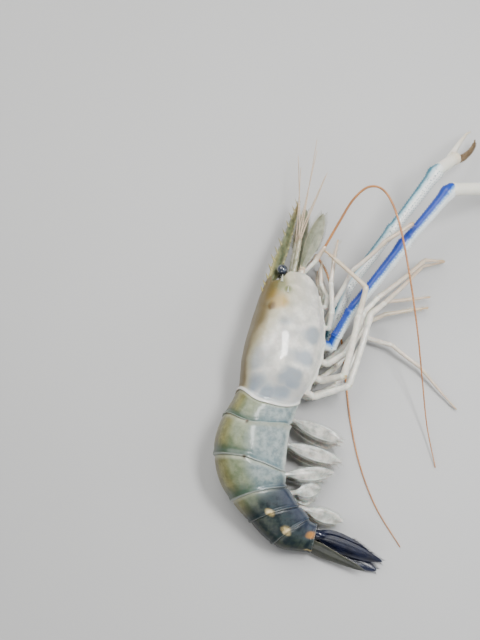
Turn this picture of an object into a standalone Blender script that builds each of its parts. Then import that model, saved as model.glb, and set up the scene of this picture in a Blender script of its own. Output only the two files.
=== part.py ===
"""A giant river prawn, Macrobrachium rosenbergii, as a still model at life size.

The prawn lies on its left side with its back turned a little upwards. +Y runs towards the head,
+X is the belly side where the legs reach, and +Z is up, with the floor at zero. Sizes are in
millimetres and angles in degrees; MM turns the sizes into metres where a mesh is made.
"""

import math

import bmesh
import bpy
from mathutils import Vector

MM = 0.001
GAP = 0.3
WELD = 1e-6

# The body's axis, from the tip of the pleon forward. Each station gives the arc length from the
# carapace's rear edge, the course of the axis, the way the section faces, the roll of the back
# away from the floor, and half the depth and half the width of the shell.
STATIONS = (
    (-107, 178, 168, 3, 7.8, 6.8),
    (-99, 166, 150, 5, 9.4, 8.4),
    (-92, 143, 130, 7, 12.6, 10.0),
    (-84, 131, 119, 9, 13.7, 11.4),
    (-77, 131, 112, 11, 14.1, 12.6),
    (-62, 122, 108, 14, 15.7, 14.8),
    (-53, 110, 95, 16, 18.3, 16.4),
    (-44, 95, 83, 18, 19.7, 17.2),
    (-31, 80, 79, 19, 20.1, 17.6),
    (-18, 68, 79, 20, 19.1, 17.2),
    (-9, 63, 78, 20, 18.1, 16.8),
    (0, 68, 76, 20, 17.9, 17.2),
    (10, 72, 77, 20, 19.9, 18.6),
    (19, 74, 78, 20, 21.5, 19.6),
    (32, 77, 80, 20, 22.3, 20.0),
    (43, 81, 82, 21, 21.3, 19.4),
    (53, 84, 84, 21, 19.6, 18.0),
    (64, 87, 87, 22, 17.2, 15.6),
    (75, 90, 90, 23, 14.1, 12.6),
    (85, 92, 92, 24, 11.2, 9.8),
    (95, 92, 92, 24, 8.6, 8.0),
)
COURSE, FACING, ROLL, DEPTH, WIDTH = range(1, 6)
LARGEST = 14
AXIS_STEP = 0.5
SINK = 0.5
LYING_TO = 40
SET_BACK = 1.3

CARAPACE_LENGTH = 77
PLEON_SEAMS = (-17, -42, -62, -77, -91, -106.5)
SHELL_SIDES = 12
SWEEPS = (7, 3, 3, 3)
NOTCHES = (0.0, 0.05, 0.09, 0.09, 0.07, 0.05, 0.03)
LIP = 0.7
SEAM_GAP = 0.5


def smooth(column, s):
    """The value of a column of STATIONS at arc length s, on a smooth curve through its rows."""
    rows = STATIONS
    s = min(max(s, rows[0][0]), rows[-1][0])
    k = 0
    while k < len(rows) - 2 and s > rows[k + 1][0]:
        k += 1

    def slope(i):
        low = max(i - 1, 0)
        high = min(i + 1, len(rows) - 1)
        return (rows[high][column] - rows[low][column]) / (rows[high][0] - rows[low][0])

    span = rows[k + 1][0] - rows[k][0]
    t = (s - rows[k][0]) / span
    here = rows[k][column]
    there = rows[k + 1][column]
    rise = (2 * t**3 - 3 * t**2 + 1) * here + (3 * t**2 - 2 * t**3) * there
    bend = (t**3 - 2 * t**2 + t) * slope(k) + (t**3 - t**2) * slope(k + 1)
    return rise + bend * span


def axis_points():
    """Plan positions of the axis every AXIS_STEP, walked both ways from the rear of the carapace."""
    points = {0: Vector((0.0, 0.0))}
    for way in (1, -1):
        place = Vector((0.0, 0.0))
        end = STATIONS[-1][0] if way > 0 else -STATIONS[0][0]
        for n in range(int(end / AXIS_STEP)):
            turn = math.radians(smooth(COURSE, way * (n + 0.5) * AXIS_STEP))
            place = place + Vector((math.cos(turn), math.sin(turn))) * AXIS_STEP * way
            points[way * (n + 1)] = place
    return points


AXIS = axis_points()


def reach_down(s):
    """How far the rolled section at s reaches below the axis."""
    tilt = math.radians(smooth(ROLL, s))
    deep = smooth(DEPTH, s) * math.sin(tilt)
    wide = smooth(WIDTH, s) * math.cos(tilt)
    return (deep**1.7 + wide**1.7) ** (1 / 1.7)


def frame(s):
    """Centre of the section at s, with the forward, belly and right-hand directions there."""
    n = min(max(s / AXIS_STEP, min(AXIS)), max(AXIS) - 1)
    low = math.floor(n)
    plan = AXIS[low].lerp(AXIS[low + 1], n - low)
    height = reach_down(min(s, LYING_TO)) - SINK
    facing = math.radians(smooth(FACING, s))
    tilt = math.radians(smooth(ROLL, s))
    ahead = Vector((math.cos(facing), math.sin(facing), 0))
    across = Vector((ahead.y, -ahead.x, 0))
    up = Vector((0, 0, 1))
    belly = across * math.cos(tilt) - up * math.sin(tilt)
    right = across * math.sin(tilt) + up * math.cos(tilt)
    set_back = SET_BACK * swell(-95, -70, s) * swell(85, 60, s)
    centre = Vector((plan.x, plan.y, height)) + ahead * (s - n * AXIS_STEP)
    return centre - belly * set_back, ahead, belly, right


def at(s, belly=0.0, right=0.0):
    centre, _, down, side = frame(s)
    return centre + down * belly + side * right


def new_object(name, mesh, material):
    mesh.materials.clear()
    mesh.materials.append(material)
    thing = bpy.data.objects.new(name, mesh)
    PRAWN.objects.link(thing)
    mesh.shade_smooth()
    mesh.set_sharp_from_angle(angle=math.radians(40))
    return thing


def loft(name, rings, material, ends=None):
    """A closed solid through rings of equally many points, with a fan of faces at each end."""
    form = bmesh.new()
    lines = [[form.verts.new(p * MM) for p in ring] for ring in rings]
    count = len(rings[0])
    for near, far in zip(lines, lines[1:]):
        for k in range(count):
            n = (k + 1) % count
            form.faces.new((near[k], near[n], far[n], far[k]))
    ends = ends or [sum(rings[i], Vector()) / count for i in (0, -1)]
    for line, end in ((lines[0], ends[0]), (lines[-1], ends[1])):
        middle = form.verts.new(end * MM)
        for k in range(count):
            form.faces.new((line[k], line[(k + 1) % count], middle))
    bmesh.ops.recalc_face_normals(form, faces=form.faces)
    bmesh.ops.triangulate(form, faces=form.faces)
    mesh = bpy.data.meshes.new(name)
    form.to_mesh(mesh)
    form.free()
    return new_object(name, mesh, material)


def cut_at_floor(thing):
    """Cuts away what lies below the floor and closes the cut with a flat."""
    form = bmesh.new()
    form.from_mesh(thing.data)
    everything = form.verts[:] + form.edges[:] + form.faces[:]
    cut = bmesh.ops.bisect_plane(
        form, geom=everything, dist=WELD, plane_co=(0, 0, 0), plane_no=(0, 0, -1), clear_outer=True
    )
    edges = [e for e in cut["geom_cut"] if isinstance(e, bmesh.types.BMEdge)]
    if edges:
        bmesh.ops.holes_fill(form, edges=edges)
        bmesh.ops.triangulate(form, faces=form.faces)
    form.to_mesh(thing.data)
    form.free()
    return thing


def tube(name, points, radii, material, resolution=2):
    """A round tube whose radius follows its points, as a mesh with welded caps."""
    curve = bpy.data.curves.new(name, "CURVE")
    curve.dimensions = "3D"
    curve.bevel_depth = MM
    curve.bevel_resolution = resolution
    curve.use_fill_caps = True
    line = curve.splines.new("POLY")
    line.points.add(len(points) - 1)
    for spot, place, radius in zip(line.points, points, radii):
        spot.co = (*(place * MM), 1)
        spot.radius = radius
    guide = bpy.data.objects.new(name + "_guide", curve)
    PRAWN.objects.link(guide)
    seen = guide.evaluated_get(bpy.context.evaluated_depsgraph_get())
    mesh = bpy.data.meshes.new_from_object(seen)
    bpy.data.objects.remove(guide)
    form = bmesh.new()
    form.from_mesh(mesh)
    bmesh.ops.remove_doubles(form, verts=form.verts, dist=WELD)
    bmesh.ops.recalc_face_normals(form, faces=form.faces)
    form.to_mesh(mesh)
    form.free()
    mesh.name = name
    return new_object(name, mesh, material)


def largest_shell(mesh):
    """Keeps only the largest closed surface of a mesh."""
    form = bmesh.new()
    form.from_mesh(mesh)
    form.verts.ensure_lookup_table()
    left = set(form.verts)
    shells = []
    while left:
        stack = [left.pop()]
        shell = set(stack)
        while stack:
            for edge in stack.pop().link_edges:
                for vert in edge.verts:
                    if vert in left:
                        left.remove(vert)
                        shell.add(vert)
                        stack.append(vert)
        shells.append(shell)

    def size(shell):
        spread = [max(v.co[i] for v in shell) - min(v.co[i] for v in shell) for i in range(3)]
        return sum(spread)

    shells.sort(key=size)
    loose = [v for shell in shells[:-1] for v in shell]
    bmesh.ops.delete(form, geom=loose, context="VERTS")
    form.to_mesh(mesh)
    form.free()


def fuse(body, pieces):
    """Joins the pieces to the body in one Boolean union."""
    if not pieces:
        return body
    group = bpy.data.collections.new("joining")
    bpy.context.scene.collection.children.link(group)
    for piece in pieces:
        PRAWN.objects.unlink(piece)
        group.objects.link(piece)
    union = body.modifiers.new("union", "BOOLEAN")
    union.operation = "UNION"
    union.operand_type = "COLLECTION"
    union.collection = group
    union.solver = "EXACT"
    bpy.context.view_layer.update()
    seen = body.evaluated_get(bpy.context.evaluated_depsgraph_get())
    mesh = bpy.data.meshes.new_from_object(seen)
    body.modifiers.remove(union)
    for piece in pieces:
        bpy.data.objects.remove(piece)
    bpy.data.collections.remove(group)
    material = body.data.materials[0]
    body.data = mesh
    mesh.materials.clear()
    mesh.materials.append(material)
    largest_shell(mesh)
    return body


def spike(name, root, tip, radius, material, sides=5):
    """A pointed cone from its root to its tip."""
    length = (tip - root).length
    form = bmesh.new()
    bmesh.ops.create_cone(
        form,
        cap_ends=True,
        segments=sides,
        radius1=radius * MM,
        radius2=0.12 * radius * MM,
        depth=length * MM,
    )
    turn = Vector((0, 0, 1)).rotation_difference(tip - root).to_matrix()
    bmesh.ops.rotate(form, verts=form.verts, matrix=turn)
    bmesh.ops.translate(form, verts=form.verts, vec=(root + tip) / 2 * MM)
    mesh = bpy.data.meshes.new(name)
    form.to_mesh(mesh)
    form.free()
    return new_object(name, mesh, material)


def material(name, colour, roughness):
    finish = bpy.data.materials.new(name)
    finish.use_nodes = True
    shader = finish.node_tree.nodes["Principled BSDF"]
    shader.inputs["Base Color"].default_value = (*colour, 1)
    shader.inputs["Roughness"].default_value = roughness
    shader.inputs["Metallic"].default_value = 0.0
    finish.diffuse_color = (*colour, 1)
    return finish


for old in list(bpy.data.objects):
    bpy.data.objects.remove(old)
PRAWN = bpy.data.collections.new("giant_river_prawn")
bpy.context.scene.collection.children.link(PRAWN)

CARAPACE_SHELL = material("carapace_shell", (0.66, 0.68, 0.66), 0.18)
PLEON_SHELL = material("pleon_shell", (0.27, 0.31, 0.25), 0.22)
TAIL_SHELL = material("tail_shell", (0.03, 0.05, 0.10), 0.2)
OLIVE_SHELL = material("olive_shell", (0.28, 0.30, 0.15), 0.3)
IVORY_SHELL = material("ivory_shell", (0.70, 0.68, 0.60), 0.3)
BLUE_SHELL = material("blue_shell", (0.05, 0.16, 0.50), 0.3)
CREAM_SHELL = material("cream_shell", (0.78, 0.74, 0.60), 0.3)
BROWN_FELT = material("brown_felt", (0.22, 0.16, 0.10), 0.9)
DARK_EYE = material("dark_eye", (0.02, 0.02, 0.025), 0.1)
SWIMMERET = material("swimmeret", (0.52, 0.55, 0.54), 0.35)
ORANGE_FEELER = material("orange_feeler", (0.55, 0.26, 0.08), 0.35)

# The shell's section, from the back round the flank to the belly: the flank is a rounded curve
# that ends at the margin, and the margin turns under into a shallow hollow. Each row gives the
# curve of the back, the margin, the turn under and the hollow as shares of the half width, and
# the hollow's depth. The carapace's form passes into the pleon's over PASSING behind its edge.
CARAPACE_FORM = (2.3, 0.64, 0.56, 0.44, 3.0)
PLEON_FORM = (2.4, 0.82, 0.70, 0.50, 4.0)
PASSING = 12
BELLY_ROUND = 3.0


def section(s, grow=0.0, lobe=1.0):
    """Half of the outline at s as belly and right-hand distances, from the back to the belly."""
    share = min(max(-s / PASSING, 0.0), 1.0)
    back, margin, turned, hollow, depth = (
        a + (b - a) * share for a, b in zip(CARAPACE_FORM, PLEON_FORM)
    )
    deep = smooth(DEPTH, s) + grow
    wide = smooth(WIDTH, s) + grow
    belly = deep * lobe
    depth *= deep / STATIONS[LARGEST][DEPTH]
    full = (1 - margin**BELLY_ROUND) ** (-1 / BELLY_ROUND)
    last = math.pi - math.asin(margin ** (BELLY_ROUND / 2))
    points = []
    for k in range(SHELL_SIDES + 1):
        turn = last * k / SHELL_SIDES
        power = 2 / (back if turn < math.pi / 2 else BELLY_ROUND)
        along = math.copysign(abs(math.cos(turn)) ** power, -math.cos(turn))
        out = abs(math.sin(turn)) ** power * wide
        points.append((along * (deep if along < 0 else belly * full), out))
    points.append((belly - 0.15 * depth, turned * wide))
    points.append((belly - depth, hollow * wide))
    return points


def full_ring(half, middle_depth):
    """The whole outline from its half: down the right side, the belly's middle, up the left."""
    right = half
    left = [(belly, -out) for belly, out in reversed(half[1:])]
    return right + [(middle_depth, 0.0)] + left


def turns():
    """The angle round the section of each point of full_ring, 0 at the back and 1 at the belly."""
    half = [k / SHELL_SIDES for k in range(SHELL_SIDES + 1)] + [1.0, 1.0]
    return half + [1.0] + list(reversed(half[1:]))


def ring(seam, grow, lobe=1.0, shift=0.0):
    """A ring of the shell; seam and grow give its place and its rise round the body."""
    points = []
    for k, mark in enumerate(turns()):
        s = seam(mark) + shift
        half = section(s, grow(mark), lobe if mark >= 0.5 else 1.0)
        belly, out = full_ring(half, half[-1][0])[k]
        points.append(at(s, belly, out))
    return points


def between(front, rear, t):
    """The seam a share t of the way from the front seam to the rear one."""
    return lambda mark: front(mark) + (rear(mark) - front(mark)) * t


def shell(name, front, rear, finish, steps, laps, notches, cup=None):
    """One plate of the shell between two seams, its raised edges lapping its neighbours."""

    def sunk(mark):
        return -LIP

    def level(mark):
        return 0.0

    rings = [ring(front, sunk, 1 - notches[0], -SEAM_GAP / 2)]
    ends = [at(front(0.5) - SEAM_GAP / 2), at(rear(0.5) + SEAM_GAP / 2)]
    if cup:
        rings.insert(0, ring(lambda mark: cup, lambda mark: -CUP_WALL))
        ends[0] = at(cup)
    for n in range(steps + 1):
        t = min(max(n / steps, 0.03), 0.97)
        edge = laps[0] if n == 0 else laps[1] if n == steps else level
        notch = notches[0] + (notches[1] - notches[0]) * t
        rings.append(ring(between(front, rear, t), edge, 1 - notch * abs(2 * t - 1) ** 2.5))
    rings.append(ring(rear, sunk, 1 - notches[1], SEAM_GAP / 2))
    return cut_at_floor(loft(name, rings, finish, ends))


def swell(start, end, mark):
    """Rises smoothly from 0 to 1 as mark goes from start to end."""
    t = min(max((mark - start) / (end - start), 0.0), 1.0)
    return t * t * (3 - 2 * t)


def rear_edge(s, sweep):
    """A plate's rear edge: straight over the back, swept to the tail below the hinge."""
    return lambda mark: s - sweep * swell(0.45, 0.85, mark)


def carapace_front(mark):
    """The front edge: drawn back at the eye, forward at the cheek and back at the belly."""
    eye = 5.0 * swell(0.02, 0.14, mark)
    cheek = 6.0 * swell(0.24, 0.42, mark)
    return CARAPACE_LENGTH - eye + cheek - 9 * swell(0.5, 1, mark)


def carapace_rear(mark):
    """The rear edge bows towards the tail on the flank."""
    return -1.5 - 6 * swell(0.0, 0.45, mark) + 10 * swell(0.55, 1.0, mark)


def second_front(mark):
    """The second plate's front edge laps the first plate on the flank."""
    return PLEON_SEAMS[0] - 4 * swell(0.0, 0.45, mark) + 4 * swell(0.45, 0.75, mark)


def over(mark):
    return LIP


def under(mark):
    return -0.5 * LIP


def second_laps(mark):
    """The first plate's rear edge lies over the second on the back and under it on the flank."""
    return LIP - 1.5 * LIP * swell(0.3, 0.5, mark)


def laps_first(mark):
    return -0.5 * LIP + 1.5 * LIP * swell(0.3, 0.5, mark)


# The rostrum's middle line and half height, over the body's axis: it rises from the back inside
# the shell, crests over the eyes and tapers to its tip.
ROSTRUM = (
    (64, -15.8, 1.4),
    (74, -12.0, 3.0),
    (86, -7.6, 4.0),
    (97, -2.8, 3.6),
    (110, 2.2, 2.7),
    (121, 6.4, 1.8),
    (130, 9.8, 0.7),
)
ROSTRUM_THICK = 1.7
UPPER_TEETH = 12
LOWER_TEETH = 9


def along_rostrum(u):
    """The rostrum's section a share u of the way to its tip: place, belly distance, half height."""
    place = u * (len(ROSTRUM) - 1)
    k = min(int(place), len(ROSTRUM) - 2)
    return [a + (b - a) * (place - k) for a, b in zip(ROSTRUM[k], ROSTRUM[k + 1])]


def rostrum_pieces():
    """The toothed blade that grows from the carapace's back between the eyes."""
    rings = []
    for k in range(13):
        s, belly, high = along_rostrum(k / 12)
        thick = ROSTRUM_THICK * (1 - 0.65 * k / 12)
        high = max(high, 0.6)
        points = []
        for turn in range(8):
            angle = 2 * math.pi * turn / 8
            points.append(at(s, belly - high * math.cos(angle), thick * math.sin(angle)))
        rings.append(points)
    pieces = [loft("rostrum_blade", rings, OLIVE_SHELL)]
    for count, side, start, reach in ((UPPER_TEETH, -1, 0.1, 3.2), (LOWER_TEETH, 1, 0.42, 2.6)):
        for k in range(count):
            u = start + (0.95 - start) * (k / (count - 1)) ** 0.9
            s, belly, high = along_rostrum(u)
            root = at(s, belly + side * (high - 1.1))
            tip = at(s + reach * 1.1, belly + side * (high + reach * (1 - 0.45 * u) * 0.55))
            pieces.append(spike("tooth", root, tip, 1.15 - 0.5 * u, OLIVE_SHELL))
    return pieces


# The head block behind the eyes sits in the carapace's front opening.
CUP = 67
CUP_WALL = 2.6
HEAD_FRONT = 77
HEAD_DROP = 1.4
HEAD_HIGH = 7.2
HEAD_WIDE = 6.4


def head_face(belly, right):
    """A point on the head's flat front, for what grows from it."""
    return at(HEAD_FRONT + GAP, belly, right)


def build_head():
    rings = []
    for s, share in ((CUP + GAP, 1.0), (74, 1.0), (HEAD_FRONT, 0.94)):
        rings.append(
            [
                at(
                    s,
                    HEAD_DROP - share * HEAD_HIGH * math.cos(math.pi * k / 10),
                    share * HEAD_WIDE * math.sin(math.pi * k / 10),
                )
                for k in range(20)
            ]
        )
    loft("head", rings, IVORY_SHELL)


# The thorax under the carapace carries the legs on its flat belly face.
THORAX_FROM = 6
THORAX_TO = 66
THORAX_DROP = 3.0


def thorax_section(s):
    deep = smooth(DEPTH, s)
    wide = smooth(WIDTH, s)
    hollow = CARAPACE_FORM[4] * deep / STATIONS[LARGEST][DEPTH]
    top = (deep - hollow + 2 * GAP, CARAPACE_FORM[3] * wide - 1.2)
    level = (deep - 0.15 * hollow, CARAPACE_FORM[2] * wide - 1.6)
    face = (deep + THORAX_DROP, 0.46 * wide)
    return top, level, face


def build_thorax():
    rings = []
    for k in range(11):
        s = THORAX_FROM + (THORAX_TO - THORAX_FROM) * k / 10
        half = thorax_section(s)
        points = [at(s, *spot) for spot in half]
        points += [at(s, belly, -out) for belly, out in reversed(half)]
        rings.append(points)
    cut_at_floor(loft("thorax", rings, IVORY_SHELL))


def seat(s, right):
    """A place on the thorax's belly face and the direction that the face looks."""
    step = 1.0
    place = at(s, thorax_section(s)[2][0], right)
    ahead = at(s + step, thorax_section(s + step)[2][0], right)
    side = frame(s)[3]
    out = side.cross(ahead - place).normalized()
    if out.dot(frame(s)[2]) < 0:
        out = -out
    return place + out * GAP, out


def toward(heading, climb):
    """The direction at a heading in the plan, climbing by an angle."""
    flat = math.cos(math.radians(climb))
    return Vector(
        (
            math.cos(math.radians(heading)) * flat,
            math.sin(math.radians(heading)) * flat,
            math.sin(math.radians(climb)),
        )
    )


def square_end(thing, place, out):
    """Cuts away what lies beyond the plane through a place that faces out, and closes the cut."""
    form = bmesh.new()
    form.from_mesh(thing.data)
    everything = form.verts[:] + form.edges[:] + form.faces[:]
    cut = bmesh.ops.bisect_plane(
        form, geom=everything, dist=WELD, plane_co=place * MM, plane_no=out, clear_outer=True
    )
    edges = [e for e in cut["geom_cut"] if isinstance(e, bmesh.types.BMEdge)]
    if edges:
        bmesh.ops.holes_fill(form, edges=edges)
    form.to_mesh(thing.data)
    form.free()
    return thing


def pair(radius):
    """A joint's radius before and after it; one number stands for both."""
    return radius if isinstance(radius, tuple) else (radius, radius)


def limb_piece(name, joints, first, last, radii, finish, resolution=2):
    """The stretch of a limb from joint first to joint last, narrowed a little at each joint.

    A stretch that starts or ends at a joint inside the limb is cut along the joint's bisector,
    half the gap away from it, so that it faces the next stretch squarely.
    """
    points = []
    thick = []
    cuts = []
    ways = [(b - a).normalized() for a, b in zip(joints, joints[1:])]
    for k in range(first, last):
        here = joints[k]
        there = joints[k + 1]
        way = ways[k]
        length = (there - here).length
        wide = pair(radii[k])[1]
        narrow = pair(radii[k + 1])[0]
        bend = min(0.9 * wide, 0.3 * length)
        close = min(0.9 * narrow, 0.3 * length)
        if k == first:
            start = here
            if k:
                mitre = (ways[k - 1] + way).normalized()
                start = here - way * (wide * math.tan(way.angle(mitre)) + GAP)
                cuts.append((here + mitre * GAP / 2, -mitre))
            points.append(start)
            thick.append(0.85 * wide)
        points.append(here + way * bend)
        thick.append(0.9 * wide)
        if length > 3.5 * wide:
            points += [here + way * (bend + 0.16 * length), there - way * (close + 0.16 * length)]
            thick += [wide, 0.3 * wide + 0.7 * narrow]
        if k < last - 1 or last < len(joints) - 1:
            points.append(there - way * close)
            thick.append(0.95 * narrow)
        if k == last - 1:
            end = there
            if last < len(joints) - 1:
                mitre = (way + ways[last]).normalized()
                end = there + way * (narrow * math.tan(way.angle(mitre)) + GAP)
                cuts.append((there - mitre * GAP / 2, mitre))
            points.append(end)
            thick.append(0.85 * narrow if last < len(joints) - 1 else narrow)
    piece = tube(name, points, thick, finish, resolution)
    for place, out in cuts:
        square_end(piece, place, out)
    return piece


def joints_of(s, side, coxa, places):
    """A limb's joints: its root on the thorax, the end of its first piece and the given places."""
    root, out = seat(s, side)
    return [root, root + out * coxa] + [Vector(place) for place in places]


# The limbs, each from its seat on the thorax: the seat's place along the axis, the length of the
# first piece, the radius at each joint and the place of each further joint. The right-hand limbs
# lie over the left-hand ones.
SEAT_OUT = 4.6
WALKING_LEGS = {
    "leg_1_right": (48, 4.6, (1.9, 1.9, 1.8, 1.6, 1.4, 0.5),
                    ((40.4, 53, 20), (39.7, 71, 25), (42, 87, 26), (45, 99.5, 24))),
    "leg_3_right": (28, 5.6, (2.3, 2.3, 2.2, 2.0, 1.8, 1.4, 0.5),
                    ((49, 27, 19), (60, 52, 24), (69, 61.5, 23), (102, 89.5, 14), (115.5, 91, 8))),
    "leg_4_right": (18, 5.6, (2.4, 2.4, 2.3, 2.1, 1.7, 1.3, 0.5),
                    ((46, 11, 25), (55.7, 48, 32), (60, 64, 37), (42.5, 83, 33), (36, 90, 30))),
    "leg_5_right": (8, 5.6, (2.4, 2.4, 2.3, 2.1, 1.7, 1.3, 0.5),
                    ((49.5, 6, 20), (64, 50.5, 25), (73.6, 58.5, 22), (101, 87, 9), (117, 92, 3))),
    "leg_1_left": (50, 4.6, (1.8, 1.8, 1.8, 1.6, 1.4, 1.2),
                   ((42.5, 60, 17.5), (52.7, 77, 29), (73, 93, 41), (89, 103, 44))),
    "leg_3_left": (28, 5.1, (2.1, 2.1, 2.0, 1.8, 1.5, 1.2, 0.5),
                   ((45, 29.5, 10), (67, 55.7, 13), (76.4, 62, 13), (93, 64.5, 10), (105.5, 67, 6))),
    "leg_4_left": (18, 5.1, (2.1, 2.1, 2.0, 1.8, 1.5, 1.2, 0.5),
                   ((42.6, 19.6, 8), (64, 49.7, 8), (76, 54.5, 10), (93.5, 58, 8), (104, 60, 5))),
    "leg_5_left": (8, 5.1, (2.1, 2.1, 2.0, 1.8, 1.5, 1.2, 0.5),
                   ((43, 8.6, 5.5), (63, 40, 6), (79, 34.6, 8), (96.7, 20.7, 6), (119, -5.6, 2))),
}
KNEE = 3

# The second pair of legs are the long claws: an arm, a wrist, and a hand whose fixed finger faces
# a moving one. Each has the tips of the two fingers after its joints.
CLAWS = {
    "claw_right": (38, 6.6, (3.6, 3.6, 3.5, 3.4, (4.1, 3.4), (4.6, 4.3), 4.4), BLUE_SHELL, CREAM_SHELL,
                   ((43, 38, 18), (52, 53, 23), (86.7, 95, 36), (113.6, 125.7, 44), (152, 136, 22)),
                   (187, 151, 4), (187, 142, 4)),
    "claw_left": (38, 6.6, (3.2, 3.2, 3.4, 3.4, (3.9, 3.4), (4.7, 4.0), 4.2), IVORY_SHELL, BROWN_FELT,
                  ((43.8, 51.8, 9), (52, 71.7, 17), (80, 105.3, 34), (106.6, 139.5, 42),
                   (121.6, 153.6, 30)),
                  (138, 184, 8), (142, 176, 8)),
}
WRIST = 5
HAND = 6
FINGER_ROOT = 2.1


def finger(name, root, tip, bow, radii, finish):
    """A finger from its root to its tip, bowed outward in the middle."""
    points = []
    thick = []
    for k in range(9):
        u = k / 8
        points.append(root.lerp(tip, u) + bow * (4 * u * (1 - u)))
        thick.append(radii[0] + (radii[1] - radii[0]) * u**1.4)
    return tube(name, points, thick, finish)


def build_claws():
    for name, (s, coxa, radii, finish, felt, places, fixed_tip, moving_tip) in CLAWS.items():
        side = SEAT_OUT if name.endswith("right") else -SEAT_OUT
        joints = joints_of(s, side, coxa, places)
        limb_piece(name + "_arm", joints, 0, WRIST - 1, radii, finish)
        limb_piece(name + "_wrist", joints, WRIST - 1, WRIST, radii, finish)
        palm = limb_piece(name + "_hand", joints, WRIST, HAND, radii, CREAM_SHELL)
        palm_way = (joints[HAND] - joints[WRIST]).normalized()
        fixed_tip = Vector(fixed_tip)
        moving_tip = Vector(moving_tip)
        apart = fixed_tip - moving_tip
        apart = (apart - palm_way * apart.dot(palm_way)).normalized()
        root = joints[HAND] - palm_way * 4 + apart * FINGER_ROOT
        fixed = finger("fixed", root, fixed_tip, apart * 0.6, (2.1, 0.6), CREAM_SHELL)
        fuse(palm, [fixed])
        root = joints[HAND] + palm_way * GAP - apart * FINGER_ROOT
        heel = root - palm_way * 1.5
        moving = finger("moving", heel, moving_tip, apart * -2.0, (2.0, 0.6), felt)
        moving.name = name + "_finger"
        square_end(moving, root, -palm_way)


def route(points, steps):
    """Points along a smooth curve through the given ones, steps to each stretch."""
    ends = [points[0] * 2 - points[1]] + list(points) + [points[-1] * 2 - points[-2]]
    line = []
    for k in range(1, len(ends) - 2):
        a, b, c, d = ends[k - 1 : k + 3]
        for n in range(steps):
            t = n / steps
            line.append(
                0.5 * (2 * b + (c - a) * t + (2 * a - 5 * b + 4 * c - d) * t**2
                       + (3 * b - a - 3 * c + d) * t**3)
            )
    line.append(points[-1])
    return line


def taper(count, wide, narrow):
    return [wide + (narrow - wide) * k / (count - 1) for k in range(count)]


def blade(name, root, tip, across, halves, thick, bow, finish, face=None):
    """A thin leaf: half widths from root to tip, thick down its middle and thin at its edges.

    Its root lies in the plane that faces the direction face, or squarely across the leaf.
    """
    way = (tip - root).normalized()
    length = (tip - root).length
    across = (across - way * across.dot(way)).normalized()
    normal = way.cross(across)
    rings = []
    for k, half in enumerate(halves):
        u = k / (len(halves) - 1)
        centre = root + way * (length * u) - normal * (bow * length * 4 * u * (u - 1))
        deep = 0.5 * thick * (1 - 0.5 * u)
        edge = min(0.28, deep)
        outline = ((-1, -edge), (-0.35, -deep), (0.35, -deep), (1, -edge),
                   (1, edge), (0.35, deep), (-0.35, deep), (-1, edge))
        points = [centre + across * (half * x) + normal * y for x, y in outline]
        if k == 0 and face:
            points = [p - way * ((p - root).dot(face) / way.dot(face)) for p in points]
        rings.append(points)
    return loft(name, rings, finish)


# What grows from the head: the eyes on their stalks, the feelers and their scales. Places on the
# head's face are belly and right-hand distances for the right side, mirrored for the left.
EYE_SEAT = (-3.4, 3.4)
EYE_WAYS = {"right": (0.3, -0.75, 0.6), "left": (0.85, -0.55, -0.35)}
EYE_RADIUS = 2.9
SMALL_FEELER_SEAT = (2.1, 2.3)
SMALL_FEELER_WAYS = {
    "right": ((92, 24, 52), (80, 16, 64), (66, 26, 44)),
    "left": ((86, 2, 50), (77, 7, 62), (66, 10, 46)),
}
FEELER_SEAT = (6.5, 3.3)
FEELER_ROUTES = {
    "right": ((36, 93, 29), (45, 107, 39), (53, 118, 48), (62, 123, 55), (71, 118, 58),
              (78, 100, 58), (84, 69, 52), (90, 36, 38), (95, 8, 20), (99, -17, 7), (104, -42, 0.9)),
    "left": ((32, 93, 12), (38, 84, 9.5), (42, 72, 6.5), (45, 58, 3.6), (48, 38, 1.3),
             (50, 14, 0.9), (52, -12, 0.8), (57, -40, 0.8), (66, -66, 0.7), (80, -90, 0.6)),
}
SCALE_TIPS = {"right": (36, 117, 26), "left": (26, 125, 13)}
SCALE_ACROSS = {"right": (-25, 24), "left": (-14, -28)}
SCALE_HALVES = (1.7, 2.6, 3.9, 4.9, 5.1, 4.6, 3.4, 1.0)


def local_way(s, ahead, belly, right):
    _, forward, down, side = frame(s)
    return (forward * ahead + down * belly + side * right).normalized()


def build_eye(side, sign):
    root = head_face(EYE_SEAT[0], sign * EYE_SEAT[1])
    ahead = frame(HEAD_FRONT)[1]
    way = local_way(HEAD_FRONT, *EYE_WAYS[side])
    shape = (
        (1.6, 1.6), (2.2, 2.2), (2.9, 2.7), (4.2, EYE_RADIUS), (5.6, EYE_RADIUS), (7.0, 2.3),
        (7.8, 1.5), (8.2, 0.5),
    )
    points = [root, root + ahead * 0.6] + [root + ahead * 0.6 + way * reach for reach, _ in shape]
    tube("eye_" + side, points, [1.7, 1.7] + [radius for _, radius in shape], DARK_EYE)


def build_antennule(side, sign):
    root = head_face(SMALL_FEELER_SEAT[0], sign * SMALL_FEELER_SEAT[1])
    ahead = frame(HEAD_FRONT)[1]
    way = toward(79, 5) if sign > 0 else toward(79, 3)
    joints = [root, root + ahead * 2]
    for length in (10, 7, 6):
        joints.append(joints[-1] + way * length)
    stalk = limb_piece("antennule_" + side, joints, 0, 4, (1.8, 1.8, 1.7, 1.5, 1.3), IVORY_SHELL)
    up = Vector((0, 0, 1))
    level = way.cross(up).normalized()
    threads = []
    for place, (heading, climb, length) in zip((-0.7, 0.0, 0.7), SMALL_FEELER_WAYS[side]):
        start = joints[-1] - way * 1.2 + level * place + up * (0.45 - abs(place))
        bent = toward(heading, climb)
        line = route([start, start + way * 3, start + way * 6 + bent * length * 0.3,
                      start + way * 6 + bent * length * 0.95 - up * 2], 3)
        threads.append(tube("thread", line, taper(len(line), 0.5, 0.28), ORANGE_FEELER, 1))
    fuse(stalk, threads)


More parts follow.
